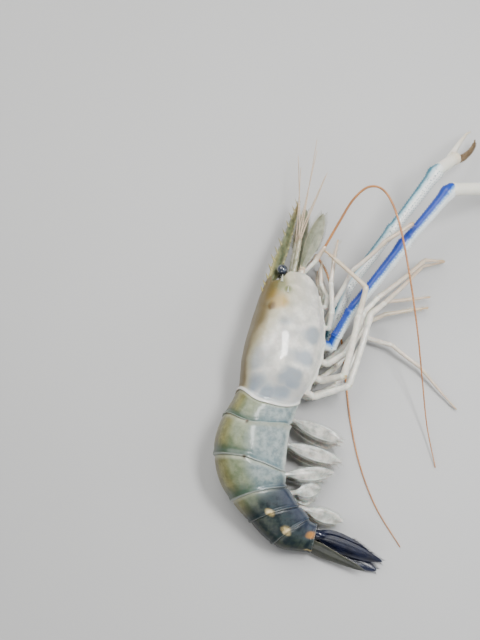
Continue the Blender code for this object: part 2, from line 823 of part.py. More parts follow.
def build_antenna(side, sign):
    root = head_face(FEELER_SEAT[0], sign * FEELER_SEAT[1])
    ahead = frame(HEAD_FRONT)[1]
    down = frame(HEAD_FRONT)[2]
    base_way = local_way(HEAD_FRONT, 0.93, 0.3, sign * 0.2)
    end = root + ahead + base_way * 4.5
    base = tube(
        "antenna_base_" + side,
        [root, root + ahead * 0.4, root + ahead + base_way, end - base_way, end],
        (1.9, 2.0, 2.2, 2.4, 2.3), IVORY_SHELL,
    )
    beneath = (down - base_way * down.dot(base_way)).normalized()
    line = [Vector(place) for place in FEELER_ROUTES[side]]
    stalk_root = end - base_way * 1.9 + beneath * 1.3
    way = (line[0] - stalk_root).normalized()
    stalk_end = line[0] - way * (GAP + 1)
    sag = beneath * 1.2
    stalk_line = [
        stalk_root, stalk_root.lerp(stalk_end, 0.3) + sag, stalk_root.lerp(stalk_end, 0.7) + sag,
    ]
    fuse(base, [tube("stalk", stalk_line + [stalk_end], (1.3, 1.4, 1.5, 1.2), IVORY_SHELL)])
    whole = [line[0] - way, line[0]] + route(line, 4)[1:]
    half = len(whole) // 2
    widths = taper(len(whole), 0.85, 0.35)
    tube(f"antenna_{side}_near", whole[: half + 1], widths[: half + 1], ORANGE_FEELER, 1)
    far = whole[half:]
    far[0] = far[0] + (far[1] - far[0]).normalized() * GAP
    tube(f"antenna_{side}_far", far, widths[half:], ORANGE_FEELER, 1)
    blade(
        "antennal_scale_" + side, end + base_way * GAP - beneath * 1.2, Vector(SCALE_TIPS[side]),
        toward(*SCALE_ACROSS[side]), SCALE_HALVES, 1.3, 0.02, OLIVE_SHELL, base_way,
    )


def build_head_limbs():
    for side, sign in (("right", 1), ("left", -1)):
        build_eye(side, sign)
        build_antennule(side, sign)
        build_antenna(side, sign)


# The swimmerets, each rooted in the hollow under its plate of the pleon: the place along the
# axis, then the tips on the right and on the left.
SWIMMERETS = (
    (-11, (46, -28, 16), (45, -30, 8)),
    (-27, (45, -40, 12), (43, -41, 5)),
    (-51, (40, -46, 10), (38, -47, 4.5)),
    (-69, (32, -55, 7), (30, -59, 2.5)),
    (-81, (45, -75, 7), (42, -73, 1.8)),
)
LEAF_HALVES = (1.5, 3.1, 3.9, 3.8, 2.9, 0.9)


def build_swimmerets():
    for n, (s, right_tip, left_tip) in enumerate(SWIMMERETS):
        deep = smooth(DEPTH, s)
        hollow = deep - PLEON_FORM[4] * deep / STATIONS[LARGEST][DEPTH]
        for side, sign, tip in (("right", 1, right_tip), ("left", -1, left_tip)):
            tip = Vector(tip)
            out = frame(s)[2]
            root = at(s, hollow, sign * 0.24 * smooth(WIDTH, s)) + out * 2.5 * GAP
            bent = root + out * 2.5
            way = (tip - bent).normalized()
            across = way.cross(Vector((0, 0, 1))).normalized() * -1
            across = (across + Vector((0, 0, 0.25 * sign))).normalized()
            base = tube(
                f"swimmeret_{n + 1}_{side}",
                [root, root + out * 1.2, bent + way * 1.5, bent + way * 7, bent + way * 8.5],
                (1.8, 1.8, 1.9, 1.7, 1.2), SWIMMERET,
            )
            rise = way.cross(across).normalized() * 0.75
            start = bent + way * 6.5
            outer = blade(
                "outer", start + rise, tip + rise, across, LEAF_HALVES, 1.1, 0.02, SWIMMERET
            )
            inner_tip = start.lerp(tip, 0.85) - across * 3.5
            inner = blade(
                "inner", start - rise, inner_tip - rise, across, LEAF_HALVES, 1.1, -0.02, SWIMMERET
            )
            cut_at_floor(fuse(base, [outer, inner]))


# The tail fan, half folded: the telson and, on each side, a base with two leaves.
TAIL_FACE = PLEON_SEAMS[5] - SEAM_GAP / 2
TELSON_HALVES = (4.6, 5.0, 4.4, 3.6, 2.8, 2.0, 0.8)
INNER_HALVES = (2.0, 4.6, 5.4, 5.2, 4.4, 3.0, 1.0)
OUTER_HALVES = (2.0, 5.0, 6.2, 6.2, 5.4, 3.8, 1.4)
UROPODS = {
    "right": (3.3, 40, (68, -99, 7), (61, -95, 8)),
    "left": (-3.3, -3, (65, -104, 1.2), (57, -101, 1.4)),
}


def build_tail():
    out = -frame(TAIL_FACE)[1]
    down = frame(TAIL_FACE)[2]
    telson = blade("telson", at(TAIL_FACE, -4.4, 0.0), Vector((57, -104, 7)), toward(58, 38),
                   TELSON_HALVES, 2.4, 0.01, OLIVE_SHELL, out)
    cut_at_floor(telson)
    for side, (right, tilt, inner_tip, outer_tip) in UROPODS.items():
        root = at(TAIL_FACE, 2.8, right)
        base = tube(
            "uropod_" + side,
            [root, root + out * 1.5, root + out * 4.5, root + out * 6],
            (2.4, 2.6, 2.4, 1.6), TAIL_SHELL,
        )
        inner = blade("inner", root + out * 3 - down * 1.2, Vector(inner_tip), toward(65, tilt),
                      INNER_HALVES, 1.3, 0.01, TAIL_SHELL)
        outer = blade("outer", root + out * 2.5 + down * 1.6, Vector(outer_tip), toward(57, tilt),
                      OUTER_HALVES, 1.3, 0.01, TAIL_SHELL)
        cut_at_floor(fuse(base, [inner, outer]))


# The mouth's outer limbs lie along the carapace's front margin.
MOUTH_SEAT = (60, 4.2)
MOUTH_RADII = (1.9, 1.9, 1.6, 1.5, 1.3, 0.5)
MOUTH_PLACES = {
    "right": ((38, 64, 16.5), (34, 72, 18), (34, 81, 19), (35, 87, 18)),
    "left": ((36.5, 64, 9), (33, 72, 9), (32.5, 79, 8), (33, 84, 7)),
}


def build_mouth_limbs():
    s, out = MOUTH_SEAT
    for side, sign in (("right", 1), ("left", -1)):
        joints = joints_of(s, sign * out, 4.0, MOUTH_PLACES[side])
        limb_piece("maxilliped_" + side, joints, 0, len(joints) - 1, MOUTH_RADII, IVORY_SHELL)


def build_legs():
    for name, (s, coxa, radii, places) in WALKING_LEGS.items():
        joints = joints_of(s, SEAT_OUT if name.endswith("right") else -SEAT_OUT, coxa, places)
        limb_piece(name + "_upper", joints, 0, KNEE, radii, IVORY_SHELL)
        limb_piece(name + "_lower", joints, KNEE, len(joints) - 1, radii, IVORY_SHELL)


def build_shell():
    rears = [carapace_rear, second_front]
    for s, sweep in zip(PLEON_SEAMS[1:5], SWEEPS):
        rears.append(rear_edge(s, sweep))
    rears.append(rear_edge(PLEON_SEAMS[5], 0))
    carapace = shell(
        "carapace", carapace_front, carapace_rear, CARAPACE_SHELL, 12, (under, over),
        (0.0, NOTCHES[0]), CUP,
    )
    fuse(carapace, rostrum_pieces())
    laps = [(under, second_laps), (laps_first, over)] + [(under, over)] * 4
    for n in range(6):
        shell(
            f"pleon_{n + 1}", rears[n], rears[n + 1], PLEON_SHELL, 5, laps[n], NOTCHES[n : n + 2]
        )


def centre_on_floor():
    """Moves the whole prawn so that the origin is under the middle of its bounding box."""
    spots = [v.co for thing in PRAWN.objects for v in thing.data.vertices]
    middle = Vector()
    for axis in (0, 1):
        middle[axis] = (min(p[axis] for p in spots) + max(p[axis] for p in spots)) / 2
    middle.z = min(p.z for p in spots)
    for thing in PRAWN.objects:
        for vert in thing.data.vertices:
            vert.co = vert.co - middle


build_shell()
build_head()
build_head_limbs()
build_thorax()
build_mouth_limbs()
build_claws()
build_legs()
build_swimmerets()
build_tail()
centre_on_floor()
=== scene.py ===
# %% [markdown]
# # A giant river prawn on its side
#
# A giant river prawn is a freshwater animal with a milky, glossy carapace, a pleon of six lapping
# plates, long thin claws and a toothed rostrum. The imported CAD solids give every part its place.
# This lesson wraps finer skins around those solids, and gives each skin a finish made of nodes.
# Lengths are in millimetres until the last moment, because a prawn is easier to read that way.
# Chance comes from one seeded source, so every run gives the same bristles.

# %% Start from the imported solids
import math
import random

import bmesh
import bpy
from mathutils import Matrix, Vector, noise


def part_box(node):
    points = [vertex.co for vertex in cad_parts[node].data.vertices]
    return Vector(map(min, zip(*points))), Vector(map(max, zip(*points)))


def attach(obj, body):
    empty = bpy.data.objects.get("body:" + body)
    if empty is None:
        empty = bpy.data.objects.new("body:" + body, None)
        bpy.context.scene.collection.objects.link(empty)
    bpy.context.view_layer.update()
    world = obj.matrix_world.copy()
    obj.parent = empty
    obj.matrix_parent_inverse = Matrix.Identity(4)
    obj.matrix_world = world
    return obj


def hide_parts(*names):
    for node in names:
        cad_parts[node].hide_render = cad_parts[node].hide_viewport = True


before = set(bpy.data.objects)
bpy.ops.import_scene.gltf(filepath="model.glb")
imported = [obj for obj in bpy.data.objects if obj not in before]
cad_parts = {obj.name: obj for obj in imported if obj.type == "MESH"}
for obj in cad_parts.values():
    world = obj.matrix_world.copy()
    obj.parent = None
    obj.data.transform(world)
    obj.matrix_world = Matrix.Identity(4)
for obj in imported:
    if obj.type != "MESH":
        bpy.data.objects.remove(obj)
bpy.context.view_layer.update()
MM = 0.001
WELD = 1e-6
UP = Vector((0, 0, 1))
DRAWS = random.Random(7)
SIDES = {"right": 1, "left": -1}

# %% [markdown]
# The prawn's body follows one curved axis, so most pieces are easiest to place by how far along
# that axis they are, how far towards the belly, and how far to the animal's right. The table and
# the small functions below are the ones that the solids were made from, in millimetres. The
# carapace's box fixes where the axis starts.

# %% The body's axis
STATIONS = (
    (-107, 178, 168, 3, 7.8, 6.8),
    (-99, 166, 150, 5, 9.4, 8.4),
    (-92, 143, 130, 7, 12.6, 10.0),
    (-84, 131, 119, 9, 13.7, 11.4),
    (-77, 131, 112, 11, 14.1, 12.6),
    (-62, 122, 108, 14, 15.7, 14.8),
    (-53, 110, 95, 16, 18.3, 16.4),
    (-44, 95, 83, 18, 19.7, 17.2),
    (-31, 80, 79, 19, 20.1, 17.6),
    (-18, 68, 79, 20, 19.1, 17.2),
    (-9, 63, 78, 20, 18.1, 16.8),
    (0, 68, 76, 20, 17.9, 17.2),
    (10, 72, 77, 20, 19.9, 18.6),
    (19, 74, 78, 20, 21.5, 19.6),
    (32, 77, 80, 20, 22.3, 20.0),
    (43, 81, 82, 21, 21.3, 19.4),
    (53, 84, 84, 21, 19.6, 18.0),
    (64, 87, 87, 22, 17.2, 15.6),
    (75, 90, 90, 23, 14.1, 12.6),
    (85, 92, 92, 24, 11.2, 9.8),
    (95, 92, 92, 24, 8.6, 8.0),
)
COURSE, FACING, ROLL, DEPTH, WIDTH = range(1, 6)
LARGEST = 14
AXIS_STEP = 0.5
SECTION_POWER = 1.7
SINK = 0.5
LYING_TO = 40
SET_BACK = 1.3
CARAPACE_LOW = Vector((-19.976, -6.846, 0))


def swell(start, end, value):
    """Rises smoothly from 0 to 1 as value goes from start to end."""
    t = min(max((value - start) / (end - start), 0.0), 1.0)
    return t * t * (3 - 2 * t)


def smooth(column, s):
    """The value of a column of STATIONS at arc length s, on a smooth curve through its rows."""
    rows = STATIONS
    s = min(max(s, rows[0][0]), rows[-1][0])
    k = 0
    while k < len(rows) - 2 and s > rows[k + 1][0]:
        k += 1

    def slope(i):
        low = max(i - 1, 0)
        high = min(i + 1, len(rows) - 1)
        return (rows[high][column] - rows[low][column]) / (rows[high][0] - rows[low][0])

    span = rows[k + 1][0] - rows[k][0]
    t = (s - rows[k][0]) / span
    here = rows[k][column]
    there = rows[k + 1][column]
    rise = (2 * t**3 - 3 * t**2 + 1) * here + (3 * t**2 - 2 * t**3) * there
    bend = (t**3 - 2 * t**2 + t) * slope(k) + (t**3 - t**2) * slope(k + 1)
    return rise + bend * span


def axis_points():
    """Places of the axis in the plan, one every AXIS_STEP, counted from s = 0 both ways."""
    points = {0: Vector((0.0, 0.0))}
    for way in (1, -1):
        place = Vector((0.0, 0.0))
        end = STATIONS[-1][0] if way > 0 else -STATIONS[0][0]
        for n in range(int(end / AXIS_STEP)):
            turn = math.radians(smooth(COURSE, way * (n + 0.5) * AXIS_STEP))
            place = place + Vector((math.cos(turn), math.sin(turn))) * AXIS_STEP * way
            points[way * (n + 1)] = place
    return points


AXIS = axis_points()
KEPT_FRAMES = {}


def reach_down(s):
    """How far the rolled body reaches below its axis at s."""
    tilt = math.radians(smooth(ROLL, s))
    deep = smooth(DEPTH, s) * math.sin(tilt)
    wide = smooth(WIDTH, s) * math.cos(tilt)
    return (deep**SECTION_POWER + wide**SECTION_POWER) ** (1 / SECTION_POWER)


def axis_frame(s):
    """Centre of the section at s, with the forward, belly and right-hand directions there."""
    s = round(s, 3)
    if s in KEPT_FRAMES:
        return KEPT_FRAMES[s]
    n = min(max(s / AXIS_STEP, min(AXIS)), max(AXIS) - 1)
    low = math.floor(n)
    plan = AXIS[low].lerp(AXIS[low + 1], n - low)
    height = reach_down(min(s, LYING_TO)) - SINK
    facing = math.radians(smooth(FACING, s))
    tilt = math.radians(smooth(ROLL, s))
    ahead = Vector((math.cos(facing), math.sin(facing), 0))
    across = Vector((ahead.y, -ahead.x, 0))
    belly = across * math.cos(tilt) - UP * math.sin(tilt)
    right = across * math.sin(tilt) + UP * math.cos(tilt)
    centre = Vector((plan.x, plan.y, height)) + ahead * (s - n * AXIS_STEP)
    centre = centre - belly * (SET_BACK * swell(-95, -70, s) * swell(85, 60, s))
    KEPT_FRAMES[s] = (centre, ahead, belly, right)
    return KEPT_FRAMES[s]


def at(s, belly=0.0, right=0.0):
    """The place at s, so far towards the belly and so far to the right."""
    centre, _, down, side = axis_frame(s)
    return centre + down * belly + side * right


def toward(heading, climb):
    """The direction at a heading in the plan, climbing by an angle."""
    flat = math.cos(math.radians(climb))
    turn = math.radians(heading)
    return Vector((math.cos(turn) * flat, math.sin(turn) * flat, math.sin(math.radians(climb))))


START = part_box("carapace")[0] / MM - CARAPACE_LOW
START.z = 0
print("axis starts at", [round(v, 2) for v in START], "mm")

# %% [markdown]
# Almost every skin here is a flat grid that is bent into its shape. A bmesh grid is made first, and
# each of its points is moved to where a function of its place on the grid says. The grid also
# carries a few numbers at each point, such as how far round the flank it lies. A finish can read
# them back as attributes, so that its pattern follows the animal and not the room. The rims that
# meet are welded, the ends are filled, and the faces are turned outward, so each skin is closed.

# %% Bending grids into skins
GRID_SIZE = 0.5


def new_form(*marks):
    """An empty mesh whose points carry a number under each of the names."""
    form = bmesh.new()
    for key in marks:
        form.verts.layers.float.new(key)
    return form


def settle(point):
    """A place in millimetres on the axis's plan as a place in the model, never below the floor."""
    place = (point + START) * MM
    place.z = max(place.z, 0.0)
    return place


def wrap(form, around, along, place, mark=None):
    """Adds a grid whose u runs round the piece and v along it, closed into a tube."""
    grid = bmesh.ops.create_grid(form, x_segments=around, y_segments=along, size=GRID_SIZE)["verts"]
    layers = form.verts.layers.float.values()
    for vert in grid:
        u = vert.co.x + GRID_SIZE
        v = vert.co.y + GRID_SIZE
        for layer, value in zip(layers, mark(u, v) if mark else ()):
            vert[layer] = value
        vert.co = settle(place(u, v))
    rims = [v for v in grid if v.is_boundary]
    bmesh.ops.remove_doubles(form, verts=rims, dist=WELD)
    ends = [e for e in form.edges if e.is_boundary]
    bmesh.ops.holes_fill(form, edges=ends, sides=0)


def show(name, form, finish, slot, *replaced, sharp=50):
    """Turns a form into a piece that rides with the prawn and stands for some solids."""
    bmesh.ops.recalc_face_normals(form, faces=form.faces)
    mesh = bpy.data.meshes.new(name)
    form.to_mesh(mesh)
    form.free()
    mesh.materials.append(finish)
    mesh.shade_smooth()
    mesh.set_sharp_from_angle(angle=math.radians(sharp))
    piece = bpy.data.objects.new(name, mesh)
    bpy.context.scene.collection.objects.link(piece)
    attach(piece, "root")
    if replaced:
        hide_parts(*replaced)
    print(name, len(mesh.polygons), "faces")


print("a grid's points lie between", -GRID_SIZE, "and", GRID_SIZE, "before they are bent")

# %% [markdown]
# Two small functions shape nearly everything that follows. One is a smooth hump, for beads, ribs
# and grooves. The other runs a smooth curve through the rows of a table, so that a handful of
# measured rows is enough for a rostrum, a leaf or a feeler.

# %% Humps and tables
def bump_at(middle, spread, value):
    """A smooth hump of height 1 at middle."""
    return math.exp(-(((value - middle) / spread) ** 2))


def along_table(table, u):
    """A smooth curve through a table's rows, spaced evenly over u from 0 to 1."""
    place = min(max(u, 0.0), 1.0) * (len(table) - 1)
    k = min(int(place), len(table) - 2)
    t = place - k
    rows = [table[min(max(k + n, 0), len(table) - 1)] for n in (-1, 0, 1, 2)]
    single = not isinstance(rows[0], (tuple, list, Vector))
    if single:
        rows = [(row,) for row in rows]
    values = []
    for a, b, c, d in zip(*rows):
        curve = 2 * b + (c - a) * t + (2 * a - 5 * b + 4 * c - d) * t**2
        values.append(0.5 * (curve + (3 * b - a - 3 * c + d) * t**3))
    return values[0] if single else values


print("a quarter along 0, 1, 4, 9:", round(along_table((0, 1, 4, 9), 0.25), 3))

# %% [markdown]
# Limbs and feelers are tubes, and teeth, spines and bristles are cones. The tube's direction of
# "up" is carried from ring to ring, because a direction worked out afresh at every ring would
# flip where the tube turns. Both ends are rounded with a few smaller rings.

# %% Tubes and spikes
DOME = ((0.45, 0.89), (0.85, 0.53), (0.99, 0.1))


def tube(form, points, radii, around=14, flat=1.0, mark=None, dome=(True, True)):
    """Adds a tube along points. Its section is flat times as thick upwards as across."""
    points = [Vector(p) for p in points]
    radii = list(radii)
    first = (points[0] - points[1]).normalized()
    last = (points[-1] - points[-2]).normalized()
    if dome[0]:
        extra = [(points[0] + first * radii[0] * a, radii[0] * b) for a, b in DOME]
        points = [p for p, _ in reversed(extra)] + points
        radii = [r for _, r in reversed(extra)] + radii
    if dome[1]:
        extra = [(points[-1] + last * radii[-1] * a, radii[-1] * b) for a, b in DOME]
        points += [p for p, _ in extra]
        radii += [r for _, r in extra]
    count = len(points)
    ways = []
    for k in range(count):
        ways.append((points[min(k + 1, count - 1)] - points[max(k - 1, 0)]).normalized())
    lifts = []
    lift = UP
    for way in ways:
        lift = lift - way * lift.dot(way)
        if lift.length < 0.05:
            lift = way.orthogonal()
        lift.normalize()
        lifts.append(lift.copy())

    def place(u, v):
        k = round(v * (count - 1))
        turn = 2 * math.pi * u
        across = ways[k].cross(lifts[k])
        out = across * math.cos(turn) + lifts[k] * math.sin(turn) * flat
        return points[k] + out * radii[k]

    def marks(u, v):
        k = round(v * (count - 1))
        turn = 2 * math.pi * u
        out = ways[k].cross(lifts[k]) * math.cos(turn) + lifts[k] * math.sin(turn)
        return mark(out, v) if mark else ()

    wrap(form, around, count - 1, place, marks)


def spike(form, root, tip, radius, sides=5, blunt=0.08, marks=()):
    """Adds a thin pointed cone, such as a spine, a tooth or a bristle."""
    layers = form.verts.layers.float.values()
    length = (tip - root).length * MM
    cone = bmesh.ops.create_cone(
        form, cap_ends=True, segments=sides, radius1=radius * MM, radius2=blunt * radius * MM,
        depth=length,
    )["verts"]
    turn = UP.rotation_difference(tip - root).to_matrix().to_4x4()
    middle = ((root + tip) / 2 + START) * MM
    bmesh.ops.transform(form, matrix=Matrix.Translation(middle) @ turn, verts=cone)
    for vert in cone:
        vert.co.z = max(vert.co.z, 0.0)
        for layer, value in zip(layers, marks):
            vert[layer] = value


print("a tube's end gets", len(DOME), "smaller rings")

# %% [markdown]
# Leaves make the scales, the swimmerets and the tail fan. A leaf is thick along its midrib and
# thin at its edge, and it may bow and wave. Its edge carries a fringe of fine bristles, which on
# the real prawn turns a narrow leaf into a wide paddle.

# %% Leaves and fringes
TIP_ROUND = 0.07
EDGE_THICK = 0.35
LEAF_MARKS = ("across", "along")


def leaf_frame(root, tip, across):
    """A leaf's length, with the directions along it, across it and out of it."""
    way = (tip - root).normalized()
    across = (across - way * across.dot(way)).normalized()
    return (tip - root).length, way, across, way.cross(across)


def leaf(form, root, tip, across, halves, thick, bow, ribs, around=36, along=36, waves=0.0):
    """Adds a thin leaf from root to tip, with half widths along it. Its marks are u and v."""
    length, way, across, normal = leaf_frame(root, tip, across)

    def place(u, v):
        turn = 2 * math.pi * u
        out = math.copysign(abs(math.cos(turn)) ** 0.8, math.cos(turn))
        end = math.sqrt(max(1 - max(0.0, (v - 1 + TIP_ROUND) / TIP_ROUND) ** 2, 0.0))
        half = along_table(halves, v) * max(end, 0.05)
        full = EDGE_THICK + (1 - EDGE_THICK) * (1 - out * out)
        up = math.sin(turn) * 0.5 * thick * (1 - 0.55 * v) * full
        rib = ribs * bump_at(0, 0.12, out) + 0.5 * ribs * bump_at(0.62, 0.09, out)
        up += math.copysign(rib, math.sin(turn)) * (1 - v)
        lift = bow * length * 4 * v * (1 - v)
        lift += waves * math.sin(2.6 * out + 9 * v) * v * (1 - 0.5 * v)
        return root + way * (length * v) + normal * (lift + up) + across * (half * out)

    def marks(u, v):
        return math.cos(2 * math.pi * u), v

    wrap(form, around, along, place, marks)


FRINGE_LEAN = 0.6


def fringe(form, root, tip, across, halves, reach, count, thick, bow, start=0.15):
    """Adds a fringe of fine bristles round the edge of a leaf made with the same values."""
    length, way, across, normal = leaf_frame(root, tip, across)
    for side in (-1, 1):
        for k in range(count):
            v = start + (1 - start) * (k + DRAWS.random()) / count
            half = along_table(halves, min(v, 0.97))
            lift = bow * length * 4 * v * (1 - v)
            edge = root + way * (length * v) + across * (side * half * 0.96) + normal * lift
            turn = FRINGE_LEAN + 0.5 * v
            out = across * side * math.cos(turn) + way * math.sin(turn)
            out = out + normal * DRAWS.uniform(-0.12, 0.12)
            grown = reach * DRAWS.uniform(0.7, 1.1)
            spike(form, edge - out * 0.3, edge + out * grown, thick, sides=3, blunt=0.3)


print("bristles lean", FRINGE_LEAN, "radians from the edge towards the tip")

# %% [markdown]
# Finishes are written as sums. The small class below stands for one output socket, and the
# operators of Python add Math nodes to it, so `1 - mask` is a node and reads as what it does. The
# Finish class makes every other node from its type, its settings and its sockets.

# %% Writing finishes as expressions
class Value:
    """One output socket of a finish."""

    def __init__(self, finish, socket):
        self.finish = finish
        self.socket = socket

    def math(self, operation, *others):
        sockets = dict(enumerate((self, *others)))
        return self.finish.node("ShaderNodeMath", {"operation": operation}, sockets)["Value"]

    def __add__(self, other):
        return self.math("ADD", other)

    def __sub__(self, other):
        return self.math("SUBTRACT", other)

    def __mul__(self, other):
        return self.math("MULTIPLY", other)

    def __truediv__(self, other):
        return self.math("DIVIDE", other)

    def __rsub__(self, other):
        return (self * -1) + other

    __radd__ = __add__
    __rmul__ = __mul__

    def step(self, low, high):
        """0 below low, 1 above high, and smooth between; low may be the larger."""
        settings = {"interpolation_type": "SMOOTHSTEP"}
        sockets = {"Value": self, "From Min": low, "From Max": high}
        if low > high:
            sockets.update({"From Min": high, "From Max": low, "To Min": 1.0, "To Max": 0.0})
        return self.finish.node("ShaderNodeMapRange", settings, sockets)["Result"]

    def either(self, other):
        return self.math("MAXIMUM", other)


class Outputs:
    """A node's output sockets by name."""

    def __init__(self, finish, node):
        self.finish = finish
        self.node = node

    def __getitem__(self, key):
        return Value(self.finish, self.node.outputs[key])


class Finish:
    """A material under construction."""

    def __init__(self, name):
        self.material = bpy.data.materials.new(name)
        self.material.use_nodes = True
        self.tree = self.material.node_tree
        self.shader = self.tree.nodes["Principled BSDF"]
        self.place = self.node("ShaderNodeTexCoord", {}, {})["Object"]

    def put(self, socket, value):
        if isinstance(value, Value):
            self.tree.links.new(value.socket, socket)
        elif isinstance(value, tuple) and len(value) == 3 and socket.type == "RGBA":
            socket.default_value = (*value, 1)
        else:
            socket.default_value = value

    def node(self, kind, settings, sockets):
        node = self.tree.nodes.new(kind)
        for key, value in settings.items():
            setattr(node, key, value)
        for key, value in sockets.items():
            self.put(node.inputs[key], value)
        return Outputs(self, node)

    def mark(self, name):
        """A number that the piece's points carry."""
        return self.node("ShaderNodeAttribute", {"attribute_name": name}, {})["Fac"]

    def noise(self, scale, detail=3.0, rough=0.5, place=None):
        sockets = {"Scale": scale, "Detail": detail, "Roughness": rough}
        sockets["Vector"] = place or self.place
        return self.node("ShaderNodeTexNoise", {}, sockets)["Fac"]

    def cells(self, scale):
        sockets = {"Vector": self.place, "Scale": scale}
        return self.node("ShaderNodeTexVoronoi", {}, sockets)["Distance"]

    def mix(self, share, first, second):
        """Mixes two colours. A Mix node keeps its colour sockets at 6 and 7, its result at 2."""
        sockets = {0: share, 6: first, 7: second}
        return self.node("ShaderNodeMix", {"data_type": "RGBA"}, sockets)[2]

    def paint(self, base, *layers):
        """Lays colours over a base, each given as its share and its colour."""
        colour = base
        for share, over in layers:
            colour = self.mix(share, colour, over)
        return colour

    def joined(self, x, y, z):
        return self.node("ShaderNodeCombineXYZ", {}, {"X": x, "Y": y, "Z": z})["Vector"]

    def near(self, place, spot, reach, soft):
        """1 within reach of a spot, falling to 0 over soft."""
        settings = {"operation": "DISTANCE"}
        gap = self.node("ShaderNodeVectorMath", settings, {0: place, 1: spot})["Value"]
        return gap.step(reach + soft, reach)

    def spots(self, place, spots):
        """The strongest of several spots, each given as its place, reach and softness."""
        first, *others = [self.near(place, *spot) for spot in spots]
        for other in others:
            first = first.either(other)
        return first

    def relief(self, *layers):
        """Lays bumps over each other, each given as its height, strength and distance."""
        below = {}
        for height, strength, distance in layers:
            sockets = {"Height": height, "Strength": strength, "Distance": distance, **below}
            below = {"Normal": self.node("ShaderNodeBump", {}, sockets)["Normal"]}
        return below["Normal"]

    def close(self, **values):
        """Sets the shader's own sockets and hands over the material."""
        for key, value in values.items():
            self.put(self.shader.inputs[key.replace("_", " ")], value)
        print("finish", self.material.name, "has", len(self.tree.nodes), "nodes")
        return self.material


def clouded(name, scale, low, high, steps, bump, **values):
    """A plain finish that drifts between two colours and is rough where it drifts."""
    f = Finish(name)
    cloud = f.noise(scale)
    colour = f.mix(cloud.step(*steps), low, high)
    return f.close(Base_Color=colour, Normal=f.relief((cloud, *bump)), **values)


# %% [markdown]
# The photograph looks down at the prawn from high up, at about 75 degrees. The camera stands over
# the same place of the body, at the same angle. The floor is plain and pale, so that the cream
# legs still stand out from it. Three large soft lamps light the body, and one narrow lamp is there
# only for the long white gloss on the carapace. A lamp's shape shows in a glossy skin like this.

# %% Camera, floor and lamps
ELEVATION = math.radians(75)
CAMERA_AWAY = 0.6
SENSOR = 36
LENS = 51.92
AIM = Vector((-17.5, 53.2, 0))
FLOOR_HALF = 2.0
SKY_COLOUR = (0.9, 0.93, 1.0, 1)
SKY_STRENGTH = 0.16

back = Vector((0, -math.cos(ELEVATION), math.sin(ELEVATION)))
view = bpy.data.cameras.new("camera")
view.sensor_fit = "VERTICAL"
view.sensor_height = SENSOR
view.lens = LENS
camera = bpy.data.objects.new("camera", view)
camera.location = (AIM + START) * MM + back * CAMERA_AWAY
camera.rotation_euler = (math.pi / 2 - ELEVATION, 0, 0)
bpy.context.scene.collection.objects.link(camera)
bpy.context.scene.camera = camera

ground = bmesh.new()
bmesh.ops.create_grid(ground, x_segments=1, y_segments=1, size=FLOOR_HALF)
ground_mesh = bpy.data.meshes.new("floor")
ground.to_mesh(ground_mesh)
ground.free()
floor = bpy.data.objects.new("floor", ground_mesh)
bpy.context.scene.collection.objects.link(floor)
paper = Finish("floor_paper")
tone = paper.mix(paper.noise(6.0), (0.43, 0.43, 0.425), (0.47, 0.47, 0.465))
ground_mesh.materials.append(paper.close(Base_Color=tone, Roughness=0.8))
print("camera", CAMERA_AWAY, "m from its aim,", round(math.degrees(ELEVATION)), "degrees up")

# %% [markdown]
# A lamp row gives its place in metres, its two sides, its power in watts and its colour. Every lamp
# looks at the origin. A faint bluish sky keeps the shadows from going black.

# %% The lamps
LAMPS = (
    ("key", (-0.35, 0.45, 0.75), (0.8, 0.8), 10.5, (1.0, 0.99, 0.97)),
    ("fill", (0.7, -0.1, 0.5), (0.5, 0.5), 3.0, (0.93, 0.96, 1.0)),
    ("near", (-0.2, -0.7, 0.5), (0.5, 0.4), 2.0, (1.0, 1.0, 1.0)),
    ("gloss", (0.20, 0.06, 0.6), (0.30, 0.11), 5.0, (1.0, 1.0, 1.0)),
)
for name, place, size, power, colour in LAMPS:
    lamp = bpy.data.lights.new(name, "AREA")
    lamp.shape = "RECTANGLE"
    lamp.size, lamp.size_y = size
    lamp.energy = power
    lamp.color = colour
    holder = bpy.data.objects.new(name, lamp)
    holder.location = place
    holder.rotation_euler = (Vector(place) * -1).to_track_quat("-Z", "Y").to_euler()
    bpy.context.scene.collection.objects.link(holder)
sky = bpy.data.worlds.new("studio")
bpy.context.scene.world = sky
sky.use_nodes = True
backdrop = sky.node_tree.nodes["Background"]
backdrop.inputs["Color"].default_value = SKY_COLOUR
backdrop.inputs["Strength"].default_value = SKY_STRENGTH
print("lamps:", [name for name, *_ in LAMPS])

# %% [markdown]
# The carapace is milky white under a clear gloss. Its back is olive brown, a yellow and brown patch
# sits behind the eye, and grey-blue clouds show through on the gill covers. One faint grey spot on
# the flank is a painted reflection on the gloss. The pattern is laid out on the skin itself: one
# number is the distance along the axis and the other the distance round the flank, both in
# millimetres, so that both sides of the animal get it. Clouds are drawn as soft discs around
# measured places, and a slow drift of the coordinates makes them irregular.

# %% The carapace's finish
ROUND = 52
DRIFT_ASIDE = (0.3, 0.7, 0.1)


def skin_place(finish, wobble):
    """A place on the body's skin: along the axis and round the flank, in millimetres, with a
    little drift so that no edge of a pattern is straight."""
    shift = {0: finish.place, 1: DRIFT_ASIDE}
    aside = finish.node("ShaderNodeVectorMath", {"operation": "ADD"}, shift)["Vector"]
    drift = finish.noise(90.0, 2.0) - 0.5
    other = finish.noise(70.0, 2.0, place=aside) - 0.5
    along = finish.mark("place") + drift * (2 * wobble)
    down = finish.mark("flank") * ROUND + other * (2 * wobble)
    return along, down, finish.joined(along, down, 0.0)
